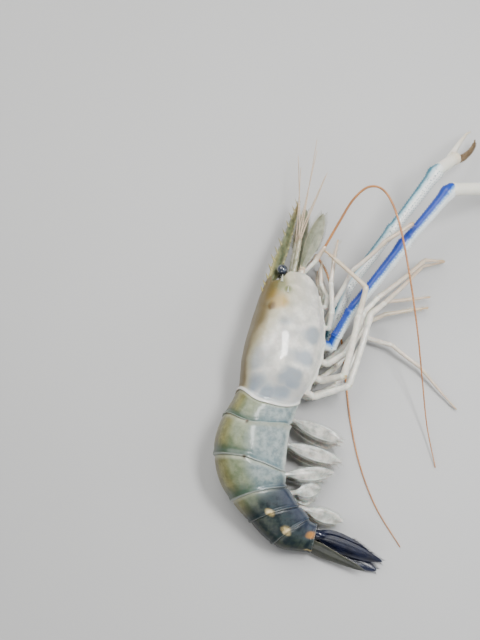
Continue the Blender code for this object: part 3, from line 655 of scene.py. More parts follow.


# Grey-blue gill clouds; the last, faint spot at (43.5, 21) is a painted grey reflection on the
# gloss.
GILL_CLOUDS_AND_REFLECTION = (
    ((38.5, 32, 0), 2.4, 4), ((24, 31, 0), 2.8, 4), ((11.5, 29, 0), 3.2, 3.5), ((8, 30, 0), 2.6, 4),
    ((2, 13, 0), 2, 7), ((-2, 22, 0), 2.5, 5), ((1, 27, 0), 1.5, 5), ((43.5, 21, 0), 0.5, 5),
)
GREEN_PATCHES = (((68, 11, 0), 5, 6), ((65, 20.5, 0), 1, 3))
OCHRE_PATCHES = (((56, 16, 0), 2.5, 5), ((61, 10, 0), 2, 5))


def carapace_finish():
    f = Finish("carapace_milky_shell")
    along, down, skin = skin_place(f, 3.4)
    cloud = f.noise(130.0, 4.0, 0.6)
    fine = f.noise(900.0, 3.0, 0.6)
    milk = f.mix(cloud.step(0.35, 0.7), (0.48, 0.47, 0.43), (0.72, 0.70, 0.63))
    band = down / (5.6 + along.step(18, 62) * 11.5)
    blue = f.spots(skin, GILL_CLOUDS_AND_REFLECTION)
    shade = f.near(skin, (18, 9, 0), 4, 9).either(along.step(16, 2) * 0.7)
    green = f.spots(skin, GREEN_PATCHES)
    ochre = f.spots(skin, OCHRE_PATCHES)
    brown = f.near(skin, (52.5, 12.5, 0), 1.2, 2.6)
    rim = f.mark("rim")
    colour = f.paint(
        milk,
        (shade * (cloud.step(0.3, 0.65) * 0.6 + 0.2), (0.24, 0.28, 0.31)),
        # gill clouds, with one painted grey reflection among them
        (blue * (0.4 + cloud * 0.6), (0.17, 0.22, 0.27)),
        (band.step(2.1, 0.8) * 0.7, (0.31, 0.26, 0.10)),
        (green * 0.85, (0.12, 0.14, 0.04)),
        (ochre * 0.75, (0.40, 0.25, 0.04)),
        (brown * 0.85, (0.09, 0.04, 0.01)),
        (band.step(1.2, 0.35) * 0.9, (0.11, 0.075, 0.02)),
        (rim * 0.85, (0.70, 0.69, 0.64)),
        (fine.step(0.55, 0.75) * 0.15, (0.25, 0.25, 0.22)),
    )
    relief = f.relief((f.noise(420.0), 0.10, 0.0006), (f.cells(1400.0), 0.06, 0.0002))
    return f.close(
        Base_Color=colour, Roughness=0.30 + fine * 0.10, Normal=relief,
        Coat_Weight=band.step(0.5, 1.6) * 0.65 + 0.1, Coat_Roughness=0.07, Subsurface_Weight=0.12,
        Subsurface_Scale=0.003, Specular_IOR_Level=0.35,
    )


CARAPACE_FINISH = carapace_finish()

# %% [markdown]
# The carapace and the pleon share one kind of section: arched over the back, drawn in along the
# flank and turned under at the belly. The same outline as in the solids gives it here, sampled
# more finely. It could be a drawn curve, but a function lets the section change along the body.

# %% The shell's outline
CARAPACE_FORM = (2.3, 0.64, 0.56, 0.44, 3.0)
PLEON_FORM = (2.4, 0.82, 0.70, 0.50, 4.0)
PASSING = 12
BELLY_ROUND = 3.0
FLANK_END = 0.84
TURNED_END = 0.90
HOLLOW_END = 0.96


def outline(s, m, grow=0.0, lobe=1.0):
    """Belly and right-hand distances of the shell at s; m is 0 at the back and 1 at the belly."""
    share = min(max(-s / PASSING, 0.0), 1.0)
    back_power, margin, turned, hollow, depth = (
        a + (b - a) * share for a, b in zip(CARAPACE_FORM, PLEON_FORM)
    )
    deep = smooth(DEPTH, s) + grow
    wide = smooth(WIDTH, s) + grow
    belly = deep * (lobe if m > 0.4 else 1.0)
    depth *= deep / STATIONS[LARGEST][DEPTH]
    full = (1 - margin**BELLY_ROUND) ** (-1 / BELLY_ROUND)
    last = math.pi - math.asin(margin ** (BELLY_ROUND / 2))
    corners = (
        (belly, margin * wide),
        (belly - 0.15 * depth, turned * wide),
        (belly - depth, hollow * wide),
        (belly - depth, 0.0),
    )
    if m <= FLANK_END:
        turn = last * m / FLANK_END
        power = 2 / (back_power if turn < math.pi / 2 else BELLY_ROUND)
        along = math.copysign(abs(math.cos(turn)) ** power, -math.cos(turn))
        out = abs(math.sin(turn)) ** power * wide
        return along * (deep if along < 0 else belly * full), out
    for k, end in enumerate((TURNED_END, HOLLOW_END, 1.0)):
        if m <= end:
            begin = (FLANK_END, TURNED_END, HOLLOW_END)[k]
            t = (m - begin) / (end - begin)
            a, b = corners[k], corners[k + 1]
            return a[0] + (b[0] - a[0]) * t, a[1] + (b[1] - a[1]) * t
    return corners[3]


def fold(u):
    """u from 0 to 1 right round the body as m, from 0 at the back to 1 at the belly."""
    return min(u, 1 - u) * 2


def shell_point(s, u, grow=0.0, lobe=1.0):
    """A point of the shell; u runs from the back down the right side and up the left."""
    belly, out = outline(s, fold(u), grow, lobe)
    return at(s, belly, out if u <= 0.5 else -out)


print("half the carapace's width by its belly:", [round(d, 1) for d in outline(32, FLANK_END)])

# %% [markdown]
# The carapace is one shell, from the opening for the head to its raised rear rim. Its front edge
# bends back for the eye and forward at the cheek, and its rear edge reaches further back on the
# flank. The pleon's seams follow the same idea, so all these edges are small functions of m.

# %% The edges of the plates
CARAPACE_LENGTH = 77
PLEON_SEAMS = (-17, -42, -62, -77, -91, -106.5)
SWEEPS = (7, 3, 3, 3)
NOTCHES = (0.0, 0.05, 0.09, 0.09, 0.07, 0.05, 0.03)
LIP = 0.7
SEAM_GAP = 0.5


def carapace_front(m):
    eye_bay = 5.0 * swell(0.02, 0.14, m)
    cheek = 6.0 * swell(0.24, 0.42, m)
    return CARAPACE_LENGTH - eye_bay + cheek - 9 * swell(0.5, 1, m)


def carapace_rear(m):
    return -1.5 - 6 * swell(0.0, 0.45, m) + 10 * swell(0.55, 1.0, m)


def second_front(m):
    return PLEON_SEAMS[0] - 4 * swell(0.0, 0.45, m) + 4 * swell(0.45, 0.75, m)


def rear_edge(s, sweep):
    return lambda m: s - sweep * swell(0.45, 0.85, m)


print("the carapace runs from", carapace_front(0), "to", carapace_rear(0), "along the back")

# %% [markdown]
# A bead runs along the carapace's lower margin, a faint groove crosses the cheek, and slow noise
# keeps the gloss from looking machined. The first rows of the grid turn inward at the front, so
# the shell shows a real edge and a hollow there. Two spines stand on each cheek. They tell this
# family of prawns from its neighbours.

# %% The carapace
CUP = 67
CUP_WALL = 2.6
SHELL_AROUND = 96
CARAPACE_ALONG = 110
CUP_SHARE = 0.06
LIP_SHARE = 0.03
SHELL_SHARE = 0.91


def carapace_relief(s, m):
    """How far the surface stands out of the plain outline, in millimetres."""
    groove = -0.22 * bump_at(0.47 + 0.0012 * (s - 50), 0.012, m) * swell(38, 48, s)
    neck = -0.30 * bump_at(56 - 26 * m, 1.6, s) * swell(0.04, 0.12, m) * swell(0.5, 0.3, m)
    bead = 0.35 * bump_at(0.81, 0.018, m) - 0.2 * bump_at(0.77, 0.014, m)
    keel = 0.9 * bump_at(0.0, 0.03, m) * swell(50, 72, s)
    waves = noise.noise(Vector((s * 0.06, m * 6, 1.5))) * 0.35
    dimples = noise.noise(Vector((s * 0.22, m * 18, 4.0))) * 0.07
    return groove + neck + bead + keel + waves + dimples


def carapace_place(u, v):
    m = fold(u)
    front = carapace_front(m)
    rear = carapace_rear(m)
    if v < CUP_SHARE:
        t = v / CUP_SHARE
        inner = CUP + (front - SEAM_GAP / 2 - CUP) * t
        return shell_point(inner, u, -CUP_WALL + (CUP_WALL - LIP) * t)
    if v > 1 - LIP_SHARE:
        t = (v - 1 + LIP_SHARE) / LIP_SHARE
        return shell_point(rear + SEAM_GAP / 2 * t, u, LIP - 2 * LIP * t)
    t = (v - CUP_SHARE) / SHELL_SHARE
    s = front + (rear - front) * t
    rise = LIP * (0.2 + 0.8 * swell(0.972, 0.99, t)) * swell(0.94, 0.97, t)
    rise -= 0.3 * bump_at(0.962, 0.008, t)
    rise -= 0.5 * LIP * swell(0.02, 0.0, t)
    return shell_point(s, u, rise + carapace_relief(s, m) * swell(0.0, 0.03, t))


def carapace_marks(u, v):
    m = fold(u)
    t = min(max((v - CUP_SHARE) / SHELL_SHARE, 0.0), 1.0)
    s = carapace_front(m) + (carapace_rear(m) - carapace_front(m)) * t
    rim = swell(0.975, 0.984, t) + bump_at(0.815, 0.02, m) * 0.6
    return s, m, min(rim, 1.0)


CHEEK_SPINES = ((72.0, 0.30, 3.4, 1.1), (64.0, 0.40, 2.6, 1.0))
shell = new_form("place", "flank", "rim")
wrap(shell, SHELL_AROUND, CARAPACE_ALONG, carapace_place, carapace_marks)
for s, m, length, radius in CHEEK_SPINES:
    for u in (m / 2, 1 - m / 2):
        root = shell_point(s - 0.6 * length, u, -0.4)
        tip = shell_point(s + length, u, 0.5)
        spike(shell, root, tip, radius, sides=9, marks=(s, m, 0.5))
show("carapace_shell", shell, CARAPACE_FINISH, "carapace_shell", "carapace")

# %% [markdown]
# The rostrum is a saw-edged blade that rises from the back between the eyes. On the real prawn it
# is olive, with a yellow crest, and short hairs stand between its teeth. The blade is a bent grid
# with a rib along each side, and each tooth is a small leaning cone sunk into its edge.

# %% The rostrum
ROSTRUM = (
    (60, -17.0, 0.6),
    (66, -15.4, 1.8),
    (74, -12.0, 3.0),
    (86, -7.6, 4.0),
    (97, -2.8, 3.6),
    (110, 2.2, 2.7),
    (121, 6.4, 1.8),
    (130, 9.8, 0.6),
)
ROSTRUM_THICK = 1.7
TEETH = ((12, -1, 0.12, 3.4), (10, 1, 0.44, 2.6))
TEETH_END = 0.955
TEETH_CROWD = 0.92
HAIRS = 7
HAIR_SPAN = 0.058


def rostrum_finish():
    f = Finish("rostrum_olive")
    along = f.mark("along")
    edge = f.mark("edge")
    cloud = f.noise(350.0, 3.0)
    body = f.mix(cloud.step(0.3, 0.7), (0.045, 0.055, 0.022), (0.12, 0.13, 0.06))
    colour = f.paint(
        body,
        (edge.step(0.1, 0.9) * along.step(0.62, 0.3) * 0.75, (0.25, 0.21, 0.02)),
        (edge.step(-0.3, -0.9) * 0.5, (0.33, 0.32, 0.20)),
        (along.step(0.75, 1.0) * 0.6, (0.33, 0.22, 0.10)),
        (f.mark("tooth") * 0.6, (0.34, 0.30, 0.12)),
    )
    relief = f.relief((f.noise(1200.0), 0.2, 0.0003))
    return f.close(
        Base_Color=colour, Roughness=0.34, Normal=relief, Coat_Weight=0.3, Coat_Roughness=0.15,
        Subsurface_Weight=0.1, Subsurface_Scale=0.002,
    )


def rostrum_place(u, v):
    s, belly, high = along_table(ROSTRUM, v)
    turn = 2 * math.pi * u
    thick = ROSTRUM_THICK * (1 - 0.7 * v)
    lens = math.copysign(abs(math.sin(turn)) ** 1.5, math.sin(turn))
    rib = 0.28 * bump_at(0.0, 0.22, math.cos(turn)) * math.copysign(1, math.sin(turn)) * (1 - v)
    return at(s, belly - high * math.cos(turn), thick * lens + rib)


def rostrum_marks(u, v):
    return v, math.cos(2 * math.pi * u), 0.0


ROSTRUM_FINISH = rostrum_finish()
blade = new_form("along", "edge", "tooth")
wrap(blade, 28, 80, rostrum_place, rostrum_marks)
for count, side, begin, reach in TEETH:
    for k in range(count):
        u = begin + (TEETH_END - begin) * (k / (count - 1)) ** TEETH_CROWD
        s, belly, high = along_table(ROSTRUM, u)
        grown = reach * (1 - 0.45 * u)
        root = at(s - 0.6, belly + side * (high - 1.0))
        tip = at(s + reach * 1.25, belly + side * (high + grown * 0.5))
        spike(blade, root, tip, 1.25 - 0.55 * u, sides=8, marks=(u, -side, 1.0))
        for n in range(HAIRS):
            s, belly, high = along_table(ROSTRUM, u + (n + 1) * HAIR_SPAN / (HAIRS + 1))
            lean = DRAWS.uniform(0.5, 1.4)
            root = at(s, belly + side * (high - 0.2), DRAWS.uniform(-0.2, 0.2))
            tip = at(s + lean, belly + side * (high + 1.1))
            spike(blade, root, tip, 0.07, sides=3, blunt=0.4)
show("rostrum", blade, ROSTRUM_FINISH, "olive_shell")

# %% [markdown]
# Six plates cover the pleon, each lapping the next like roof tiles, except that the second lies
# over the first on the flank. Each one is olive and yellow on the back, grey-green below, and ends
# in a pale rim. From the fourth plate back the prawn turns a dark blue-green, with golden spots on
# the seams. The underside between the plates' margins is a soft, pale skin.

# %% The pleon's finish
GOLD_SPOTS = (((-76.5, 25.5, 0), 0.2, 3.4), ((-89.5, 25.5, 0), 0.4, 3.8), ((-105, 9, 0), 0.4, 3.2))
HINGE_SPOTS = (((-21.5, 22, 0), 0.2, 1.6), ((-42, 24, 0), 0.2, 1.6))


def pleon_finish():
    f = Finish("pleon_plates")
    along, down, skin = skin_place(f, 1.4)
    across = f.mark("along")
    cloud = f.noise(160.0, 4.0, 0.6)
    fine = f.noise(1100.0, 3.0, 0.6)
    body = f.mix(cloud.step(0.3, 0.7), (0.11, 0.14, 0.075), (0.22, 0.25, 0.15))
    low = down.step(20, 31)
    dark = (along * -1 + down * 0.25).step(64, 78)
    gold = f.spots(skin, GOLD_SPOTS)
    orange = f.near(skin, (-103.5, 31, 0), 0.8, 3.0)
    hinge = f.spots(skin, HINGE_SPOTS)
    streaky = f.noise(260.0, 3.0, 0.55).step(0.35, 0.65)
    colour = f.paint(
        body,
        (low * 0.85, f.mix(streaky, (0.12, 0.17, 0.19), (0.27, 0.32, 0.32))),
        (down.step(17, 7) * 0.75, f.mix(streaky, (0.13, 0.115, 0.025), (0.24, 0.21, 0.06))),
        (down.step(4, 0.5) * 0.6, (0.08, 0.06, 0.02)),
        (across.step(0.62, 0.92) * down.step(34, 20) * 0.85, (0.02, 0.05, 0.035)),
        (across.step(0.6, 1.0) * low * 0.45, (0.06, 0.13, 0.16)),
        (across.step(0.16, 0.03) * 0.45, (0.42, 0.43, 0.32)),
        (dark * (0.84 + streaky * 0.16), (0.003, 0.010, 0.013)),
        (dark * down.step(28, 38) * 0.6, (0.022, 0.03, 0.06)),
        (f.mark("rim") * (1 - dark * 0.75) * 0.6, (0.50, 0.52, 0.46)),
        (gold * (0.3 + cloud), (0.42, 0.30, 0.09)),
        (gold * cloud.step(0.45, 0.6) * 0.8, (0.72, 0.60, 0.34)),
        (orange * (0.3 + cloud), (0.42, 0.17, 0.015)),
        (hinge, (0.06, 0.05, 0.03)),
        (down.step(45.5, 48.5) * 0.8, f.mix(cloud, (0.20, 0.20, 0.17), (0.48, 0.47, 0.42))),
        (fine.step(0.6, 0.8) * 0.3, (0.05, 0.06, 0.04)),
    )
    relief = f.relief((f.noise(500.0), 0.14, 0.0006), (f.cells(1500.0), 0.08, 0.0002))
    return f.close(
        Base_Color=colour, Roughness=0.38 + fine * 0.14, Normal=relief,
        Coat_Weight=0.34 - dark * 0.26, Coat_Roughness=0.15, Subsurface_Weight=0.06,
        Subsurface_Scale=0.002, Specular_IOR_Level=0.3,
    )


PLEON_FINISH = pleon_finish()

# %% [markdown]
# One function makes all six plates, because they differ only in their edges. The front edge of a
# plate starts under its neighbour, so it is sunk, and the rear edge is lifted a little. The lower
# margin of each is rounded into a lobe.

# %% The pleon's plates
PLATE_ALONG = 34
TUCK = 1.3
TURN_SHARE = 0.04
FACE_SHARE = 0.92


def second_over(m):
    """1 where the second plate lies over the first, on the flank."""
    return swell(0.3, 0.5, m)


def plate(n, front, rear):
    """Makes plate n between its front and rear edges, with the first one counted as 0."""
    notch_a, notch_b = NOTCHES[n : n + 2]

    def edges(m):
        if n == 0:
            return -0.5 * LIP, LIP - 1.5 * LIP * second_over(m)
        if n == 1:
            return -0.5 * LIP + 1.5 * LIP * second_over(m), LIP
        return -0.5 * LIP, LIP

    def place(u, v):
        m = fold(u)
        start, end = edges(m)
        tuck = TUCK * (1 - second_over(m) if n == 1 else 1)
        if v < TURN_SHARE:
            t = v / TURN_SHARE
            grow = -2 * LIP + (start + 2 * LIP) * t
            return shell_point(front(m) + tuck * (1 - t), u, grow, 1 - notch_a)
        if v > 1 - TURN_SHARE:
            t = (v - 1 + TURN_SHARE) / TURN_SHARE
            grow = end - (end + 2 * LIP) * t
            below = -TUCK * second_over(m) if n == 0 else 0
            return shell_point(rear(m) + below * t, u, grow, 1 - notch_b)
        t = (v - TURN_SHARE) / FACE_SHARE
        s = front(m) + (rear(m) - front(m)) * t
        rise = start * swell(0.12, 0.0, t) + end * swell(0.86, 0.97, t)
        rise -= 0.15 * bump_at(0.84, 0.03, t)
        rise += 0.3 * bump_at(0.82, 0.015, m) - 0.15 * bump_at(0.78, 0.015, m)
        rise -= 0.35 * bump_at(0.46, 0.03, m) * bump_at(1.0, 0.16, t) * (1 if n else 0.5)
        rise += noise.noise(Vector((s * 0.09, m * 7, n * 3.1))) * 0.28
        rise += noise.noise(Vector((s * 0.3, m * 22, n * 1.7))) * 0.06
        notch = notch_a + (notch_b - notch_a) * t
        return shell_point(s, u, rise, 1 - notch * abs(2 * t - 1) ** 2.5)

    def marks(u, v):
        m = fold(u)
        t = min(max((v - TURN_SHARE) / FACE_SHARE, 0.0), 1.0)
        s = front(m) + (rear(m) - front(m)) * t
        rim = swell(0.955, 0.975, t) * 0.8 + bump_at(0.82, 0.028, m)
        return s, m, t, min(rim, 1.0)

    form = new_form("place", "flank", "along", "rim")
    wrap(form, SHELL_AROUND, PLATE_ALONG, place, marks)
    show(f"pleon_plate_{n + 1}", form, PLEON_FINISH, "pleon_shell", f"pleon_{n + 1}")


rears = [carapace_rear, second_front]
rears += [rear_edge(s, sweep) for s, sweep in zip(PLEON_SEAMS[1:5], SWEEPS)]
rears.append(rear_edge(PLEON_SEAMS[5], 0))
for number in range(6):
    plate(number, rears[number], rears[number + 1])

# %% [markdown]
# A limb of a prawn is a row of stiff tubes. Each tube flares a little where it meets the next one,
# because the hinge there needs room, and the next tube starts inside that flare. The stretches
# below copy this: each is a tube with a collar at both ends and a slight natural curve. Every
# limb starts from its seat on the thorax's belly face, just as in the solids.

# %% Limbs out of flared tubes
THORAX_DROP = 3.0
SEAT_OUT = 4.6
RINGS = 18
LIMB_BOW = 0.012
COLLARS = ((0.07, 0.06, 0.13), (0.93, 0.07, 0.19), (0.0, 0.035, -0.22), (1.0, 0.03, -0.18))
LIMB_MARKS = ("limb", "part", "side")


def pair(radius):
    """A joint's radius before and after it; one number stands for both."""
    return radius if isinstance(radius, tuple) else (radius, radius)


def thorax_half(s):
    """Corners of the thorax's section on one side, from the carapace to the belly face."""
    deep = smooth(DEPTH, s)
    wide = smooth(WIDTH, s)
    hollow = CARAPACE_FORM[4] * deep / STATIONS[LARGEST][DEPTH]
    return (
        (deep - hollow + 0.6, CARAPACE_FORM[3] * wide - 1.2),
        (deep - 0.15 * hollow, CARAPACE_FORM[2] * wide - 1.6),
        (deep + THORAX_DROP, 0.46 * wide),
    )


def seat(s, right):
    """A place on the thorax's belly face and the direction that the face looks."""
    place = at(s, thorax_half(s)[2][0], right)
    ahead = at(s + 1, thorax_half(s + 1)[2][0], right)
    out = axis_frame(s)[3].cross(ahead - place).normalized()
    if out.dot(axis_frame(s)[2]) < 0:
        out = -out
    return place, out


def joints_of(s, right, coxa, places):
    """A limb's joints: its seat, the end of its short first stretch, and the given places."""
    root, out = seat(s, right)
    return [root, root + out * coxa] + [Vector(place) for place in places]


def limb_path(start, end, wide, narrow, bow):
    """Points and radii of one stretch of a limb, reaching a little past both of its joints."""
    way = (end - start).normalized()
    length = (end - start).length
    aside = way.cross(Vector((0.3, 0.2, 1))).normalized()
    points = []
    radii = []
    for k in range(RINGS + 1):
        u = k / RINGS
        reach = -0.25 * wide + (length + 0.25 * wide + 0.2 * narrow) * u
        points.append(start + way * reach + aside * (bow * length * math.sin(math.pi * u)))
        radius = wide + (narrow - wide) * u
        hump_a, hump_b, neck_a, neck_b = (size * bump_at(*spot, u) for *spot, size in COLLARS)
        radius *= (0.9 + hump_a + hump_b) * (1 + neck_a + neck_b)
        radii.append(radius)
    return points, radii


def run(points):
    """The length of a line through the points."""
    return sum((b - a).length for a, b in zip(points, points[1:]))


def limb(form, joints, radii, first, last, colour_way=UP, around=16, bow=LIMB_BOW):
    """Adds the stretches of a limb between two of its joints, and gives back their lines."""
    gone = run(joints[: first + 1])
    lines = []
    for k in range(first, last):
        length = (joints[k + 1] - joints[k]).length
        line = limb_path(joints[k], joints[k + 1], pair(radii[k])[1], pair(radii[k + 1])[0], bow)

        def mark(out, u, begin=gone, span=length):
            return (begin + span * u) / run(joints), u, out.dot(colour_way)

        tube(form, *line, around, mark=mark)
        lines.append(line)
        gone += length
    return lines


print("a limb's first seat, at s = 48:", [round(c, 1) for c in seat(48, SEAT_OUT)[0]])

# %% [markdown]
# Bristles and spinules make a limb look alive. Bristles are hair-thin cones scattered with a
# seeded random source. Spinules stand in staggered rows on the claws, lean forward, and are pale
# on the white face of the claw.

# %% Bristles and rows of spinules
STUD_PALE_BELOW = 0.15


def bristles(form, start, end, radius, count, length, thick=0.07, spread=1.0, lean=0.8):
    """Adds scattered bristles that stand out of a stretch and lean towards its end."""
    way = (end - start).normalized()
    level = way.orthogonal().normalized()
    other = way.cross(level)
    for _ in range(count):
        turn = DRAWS.uniform(0, 2 * math.pi)
        out = level * math.cos(turn) + other * math.sin(turn)
        foot = start.lerp(end, DRAWS.random()) + out * radius * 0.9
        tip = foot + (out * spread + way * lean).normalized() * length * DRAWS.uniform(0.6, 1.1)
        spike(form, foot, tip, thick, sides=3, blunt=0.35)


def stud_rows(form, points, radii, rows, gap, height, width, lie):
    """Adds rows of small forward-leaning spines along a stretch of a claw."""
    steps = int(run(points) / gap)
    for row in range(rows):
        for n in range(1, steps):
            u = (n + 0.5 * (row % 2) + DRAWS.uniform(-0.15, 0.15)) / steps
            place = u * (len(points) - 1)
            k = min(int(place), len(points) - 2)
            here = points[k].lerp(points[k + 1], place - k)
            radius = radii[k] + (radii[k + 1] - radii[k]) * (place - k)
            way = (points[k + 1] - points[k]).normalized()
            lift = (lie - way * lie.dot(way)).normalized()
            turn = 2 * math.pi * row / rows + DRAWS.uniform(-0.08, 0.08)
            out = way.cross(lift) * math.cos(turn) + lift * math.sin(turn)
            foot = here + out * (radius - 0.25)
            tip = foot + out * (0.25 + height * 0.75) + way * height * 0.8
            side = out.dot(lie)
            pale = 1.0 if side < STUD_PALE_BELOW else 0.0
            spike(form, foot, tip, width, sides=5, blunt=0.15, marks=(0.5, 0.5, side, pale))


print("spinules turn pale where they face less than", STUD_PALE_BELOW, "towards the lit side")

# %% [markdown]
# The walking legs are ivory at the body, and turn pinkish and amber towards their tips. Fine
# grey streaks run along them, the finish turns ochre near each hinge, and painted shade darkens
# the side of each limb that faces down. Marks on the points say how far along the whole limb and
# along its own stretch each place is, so one finish serves every leg. The same function also
# makes the olive stalks and the cream hands.

# %% The ivory finish
def ivory_finish(name, base, tip, end, streaks, ochre):
    """A limb's finish: colours at its root, along it and at its end, streaks, ochre hinges, and
    painted shade on the side that faces down.
    """
    f = Finish(name)
    whole = f.mark("limb")
    part = f.mark("part")
    side = f.mark("side")
    cloud = f.noise(260.0, 3.0, 0.6)
    streak = f.noise(900.0, 2.0, 0.6)
    hinge = part.step(0.16, 0.03).either(part.step(0.86, 0.97))
    colour = f.paint(
        base,
        (cloud.step(0.35, 0.7) * 0.5, streaks),
        (whole.step(0.35, 0.85) * 0.75, tip),
        (whole.step(0.93, 1.0) * 0.8, end),
        (hinge * ochre, (0.50, 0.33, 0.08)),
        (hinge * 0.25, (0.25, 0.24, 0.20)),
        # painted shade: the side of the limb that faces down is darkened
        (side.step(-0.1, -0.9) * 0.6, (0.34, 0.35, 0.34)),
        (streak.step(0.58, 0.72) * 0.2, (0.36, 0.34, 0.30)),
    )
    relief = f.relief((f.noise(1300.0), 0.15, 0.0003))
    return f.close(
        Base_Color=colour, Roughness=0.30 + cloud * 0.12, Normal=relief, Coat_Weight=0.6,
        Coat_Roughness=0.10, Subsurface_Weight=0.15, Subsurface_Scale=0.002,
    )


AMBER = (0.46, 0.24, 0.05)
IVORY = ivory_finish(
    "ivory_limb", (0.76, 0.73, 0.64), (0.54, 0.40, 0.27), AMBER, (0.40, 0.41, 0.38), 0.5
)
OCHRE_JOINTS = ivory_finish(
    "ivory_limb_ochre", (0.74, 0.71, 0.61), (0.54, 0.41, 0.27), AMBER, (0.42, 0.40, 0.33), 1.0
)
OLIVE_LIMB = ivory_finish(
    "olive_limb", (0.20, 0.20, 0.11), (0.36, 0.33, 0.22), (0.30, 0.24, 0.13),
    (0.44, 0.43, 0.34), 0.3,
)

# %% [markdown]
# Four pairs of walking legs and the mouth's outer limbs hang from the thorax. Each row below
# names the seat along the axis, the length of the short first stretch, a radius for each joint,
# and the places of the later joints as they were read from the photograph. The first leg of each
# side is a thin feeding leg with a brush of bristles.

# %% The walking legs and the mouth's outer limbs
BRUSH = (1.2, 90, 2.2, 0.08)
CLAW_HAIRS = (0.9, 60, 1.8)
SHIN_HAIRS = (1.5, 40, 1.6)
MOUTH_HAIRS = (1.3, 220, 2.6)
WALKING_LEGS = {
    "leg_1_right": (48, 4.6, (1.9, 1.9, 1.8, 1.6, 1.4, 0.5),
                    ((40.4, 53, 20), (39.7, 71, 25), (42, 87, 26), (45, 99.5, 24))),
    "leg_3_right": (28, 5.6, (2.3, 2.3, 2.2, 2.0, 1.8, 1.4, 0.5),
                    ((49, 27, 19), (60, 52, 24), (69, 61.5, 23), (102, 89.5, 14), (115.5, 91, 8))),
    "leg_4_right": (18, 5.6, (2.4, 2.4, 2.3, 2.1, 1.7, 1.3, 0.5),
                    ((46, 11, 25), (55.7, 48, 32), (60, 64, 37), (42.5, 83, 33), (36, 90, 30))),
    "leg_5_right": (8, 5.6, (2.4, 2.4, 2.3, 2.1, 1.7, 1.3, 0.5),
                    ((49.5, 6, 20), (64, 50.5, 25), (73.6, 58.5, 22), (101, 87, 9), (117, 92, 3))),
    "leg_1_left": (50, 4.6, (1.8, 1.8, 1.8, 1.6, 1.4, 1.2),
                   ((42.5, 60, 17.5), (52.7, 77, 29), (73, 93, 41), (89, 103, 44))),
    "leg_3_left": (28, 5.1, (2.1, 2.1, 2.0, 1.8, 1.5, 1.2, 0.5),
                   ((45, 29.5, 10), (67, 55.7, 13), (76.4, 62, 13), (93, 64.5, 10),
                    (105.5, 67, 6))),
    "leg_4_left": (18, 5.1, (2.1, 2.1, 2.0, 1.8, 1.5, 1.2, 0.5),
                   ((42.6, 19.6, 8), (64, 49.7, 8), (76, 54.5, 10), (93.5, 58, 8), (104, 60, 5))),
    "leg_5_left": (8, 5.1, (2.1, 2.1, 2.0, 1.8, 1.5, 1.2, 0.5),
                   ((43, 8.6, 5.5), (63, 40, 6), (79, 34.6, 8), (96.7, 20.7, 6), (119, -5.6, 2))),
}
MOUTH_SEAT = (60, 4.2, 4.0)
MOUTH_RADII = (1.9, 1.9, 1.6, 1.5, 1.3, 0.5)
MOUTH_PLACES = {
    "right": ((38, 64, 16.5), (34, 72, 18), (34, 81, 19), (35, 87, 18)),
    "left": ((36.5, 64, 9), (33, 72, 9), (32.5, 79, 8), (33, 84, 7)),
}

for name, (s, coxa, radii, places) in WALKING_LEGS.items():
    joints = joints_of(s, SEAT_OUT * SIDES[name.split("_")[2]], coxa, places)
    form = new_form(*LIMB_MARKS)
    limb(form, joints, radii, 0, len(joints) - 1)
    if name.startswith("leg_1"):
        bristles(form, joints[-2], joints[-1], *BRUSH)
    else:
        bristles(form, joints[-2].lerp(joints[-1], 0.1), joints[-1], *CLAW_HAIRS)
        bristles(form, joints[-3].lerp(joints[-2], 0.55), joints[-2], *SHIN_HAIRS)
    tone = OCHRE_JOINTS if name.startswith("leg_4") else IVORY
    show(name, form, tone, "ivory_shell", name + "_upper", name + "_lower")

s, right, coxa = MOUTH_SEAT
for side, sign in SIDES.items():
    joints = joints_of(s, sign * right, coxa, MOUTH_PLACES[side])
    form = new_form(*LIMB_MARKS)
    limb(form, joints, MOUTH_RADII, 0, len(joints) - 1)
    bristles(form, joints[2], joints[-1], *MOUTH_HAIRS)
    show("maxilliped_" + side, form, IVORY, "ivory_shell", "maxilliped_" + side)

# %% [markdown]
# The second pair of legs are the long claws. The right one is a strong blue on one face and
# white on the other, with white spinules along the border. The left one is paler, with a teal
# edge and dark speckles. Their hands are cream, and the left moving finger wears a coat of short
# brown felt. Which face is blue follows from one direction in space, kept as a mark called side.

# %% The claws' finishes
CLAW_SIDE = Vector((-0.72, 0.6, 0.35)).normalized()


def claw_finish(name, lit, middle, shade, dot, dots, studs, edge):
    """An arm in three colours from its lit face to its shaded one, with speckles and studs."""
    f = Finish(name)
    part = f.mark("part")
    side = f.mark("side")
    cloud = f.noise(220.0, 3.0, 0.6)
    drift = (cloud - 0.5) * 0.5
    speckle = f.cells(520.0).step(0.34, 0.20) * side.step(-0.5, 0.3)
    patch = f.noise(330.0, 2.0).step(0.42, 0.6)
    cuff = part.step(0.07, 0.0).either(part.step(0.95, 1.0))
    colour = f.paint(
        shade,
        ((side + drift).step(edge - 0.5, edge - 0.05), middle),
        ((side + drift).step(edge - 0.12, edge + 0.22), lit),
        (speckle * patch * dots, dot),
        (f.mark("stud") * 0.8, studs),
        (cuff * 0.8, (0.66, 0.67, 0.64)),
    )
    relief = f.relief((f.noise(900.0), 0.2, 0.0004), (f.cells(700.0), 0.12, 0.0003))
    return f.close(
        Base_Color=colour, Roughness=0.34 + cloud * 0.12, Normal=relief, Coat_Weight=0.25,
        Coat_Roughness=0.16, Subsurface_Weight=0.05, Subsurface_Scale=0.002,
        Specular_IOR_Level=0.35,
    )


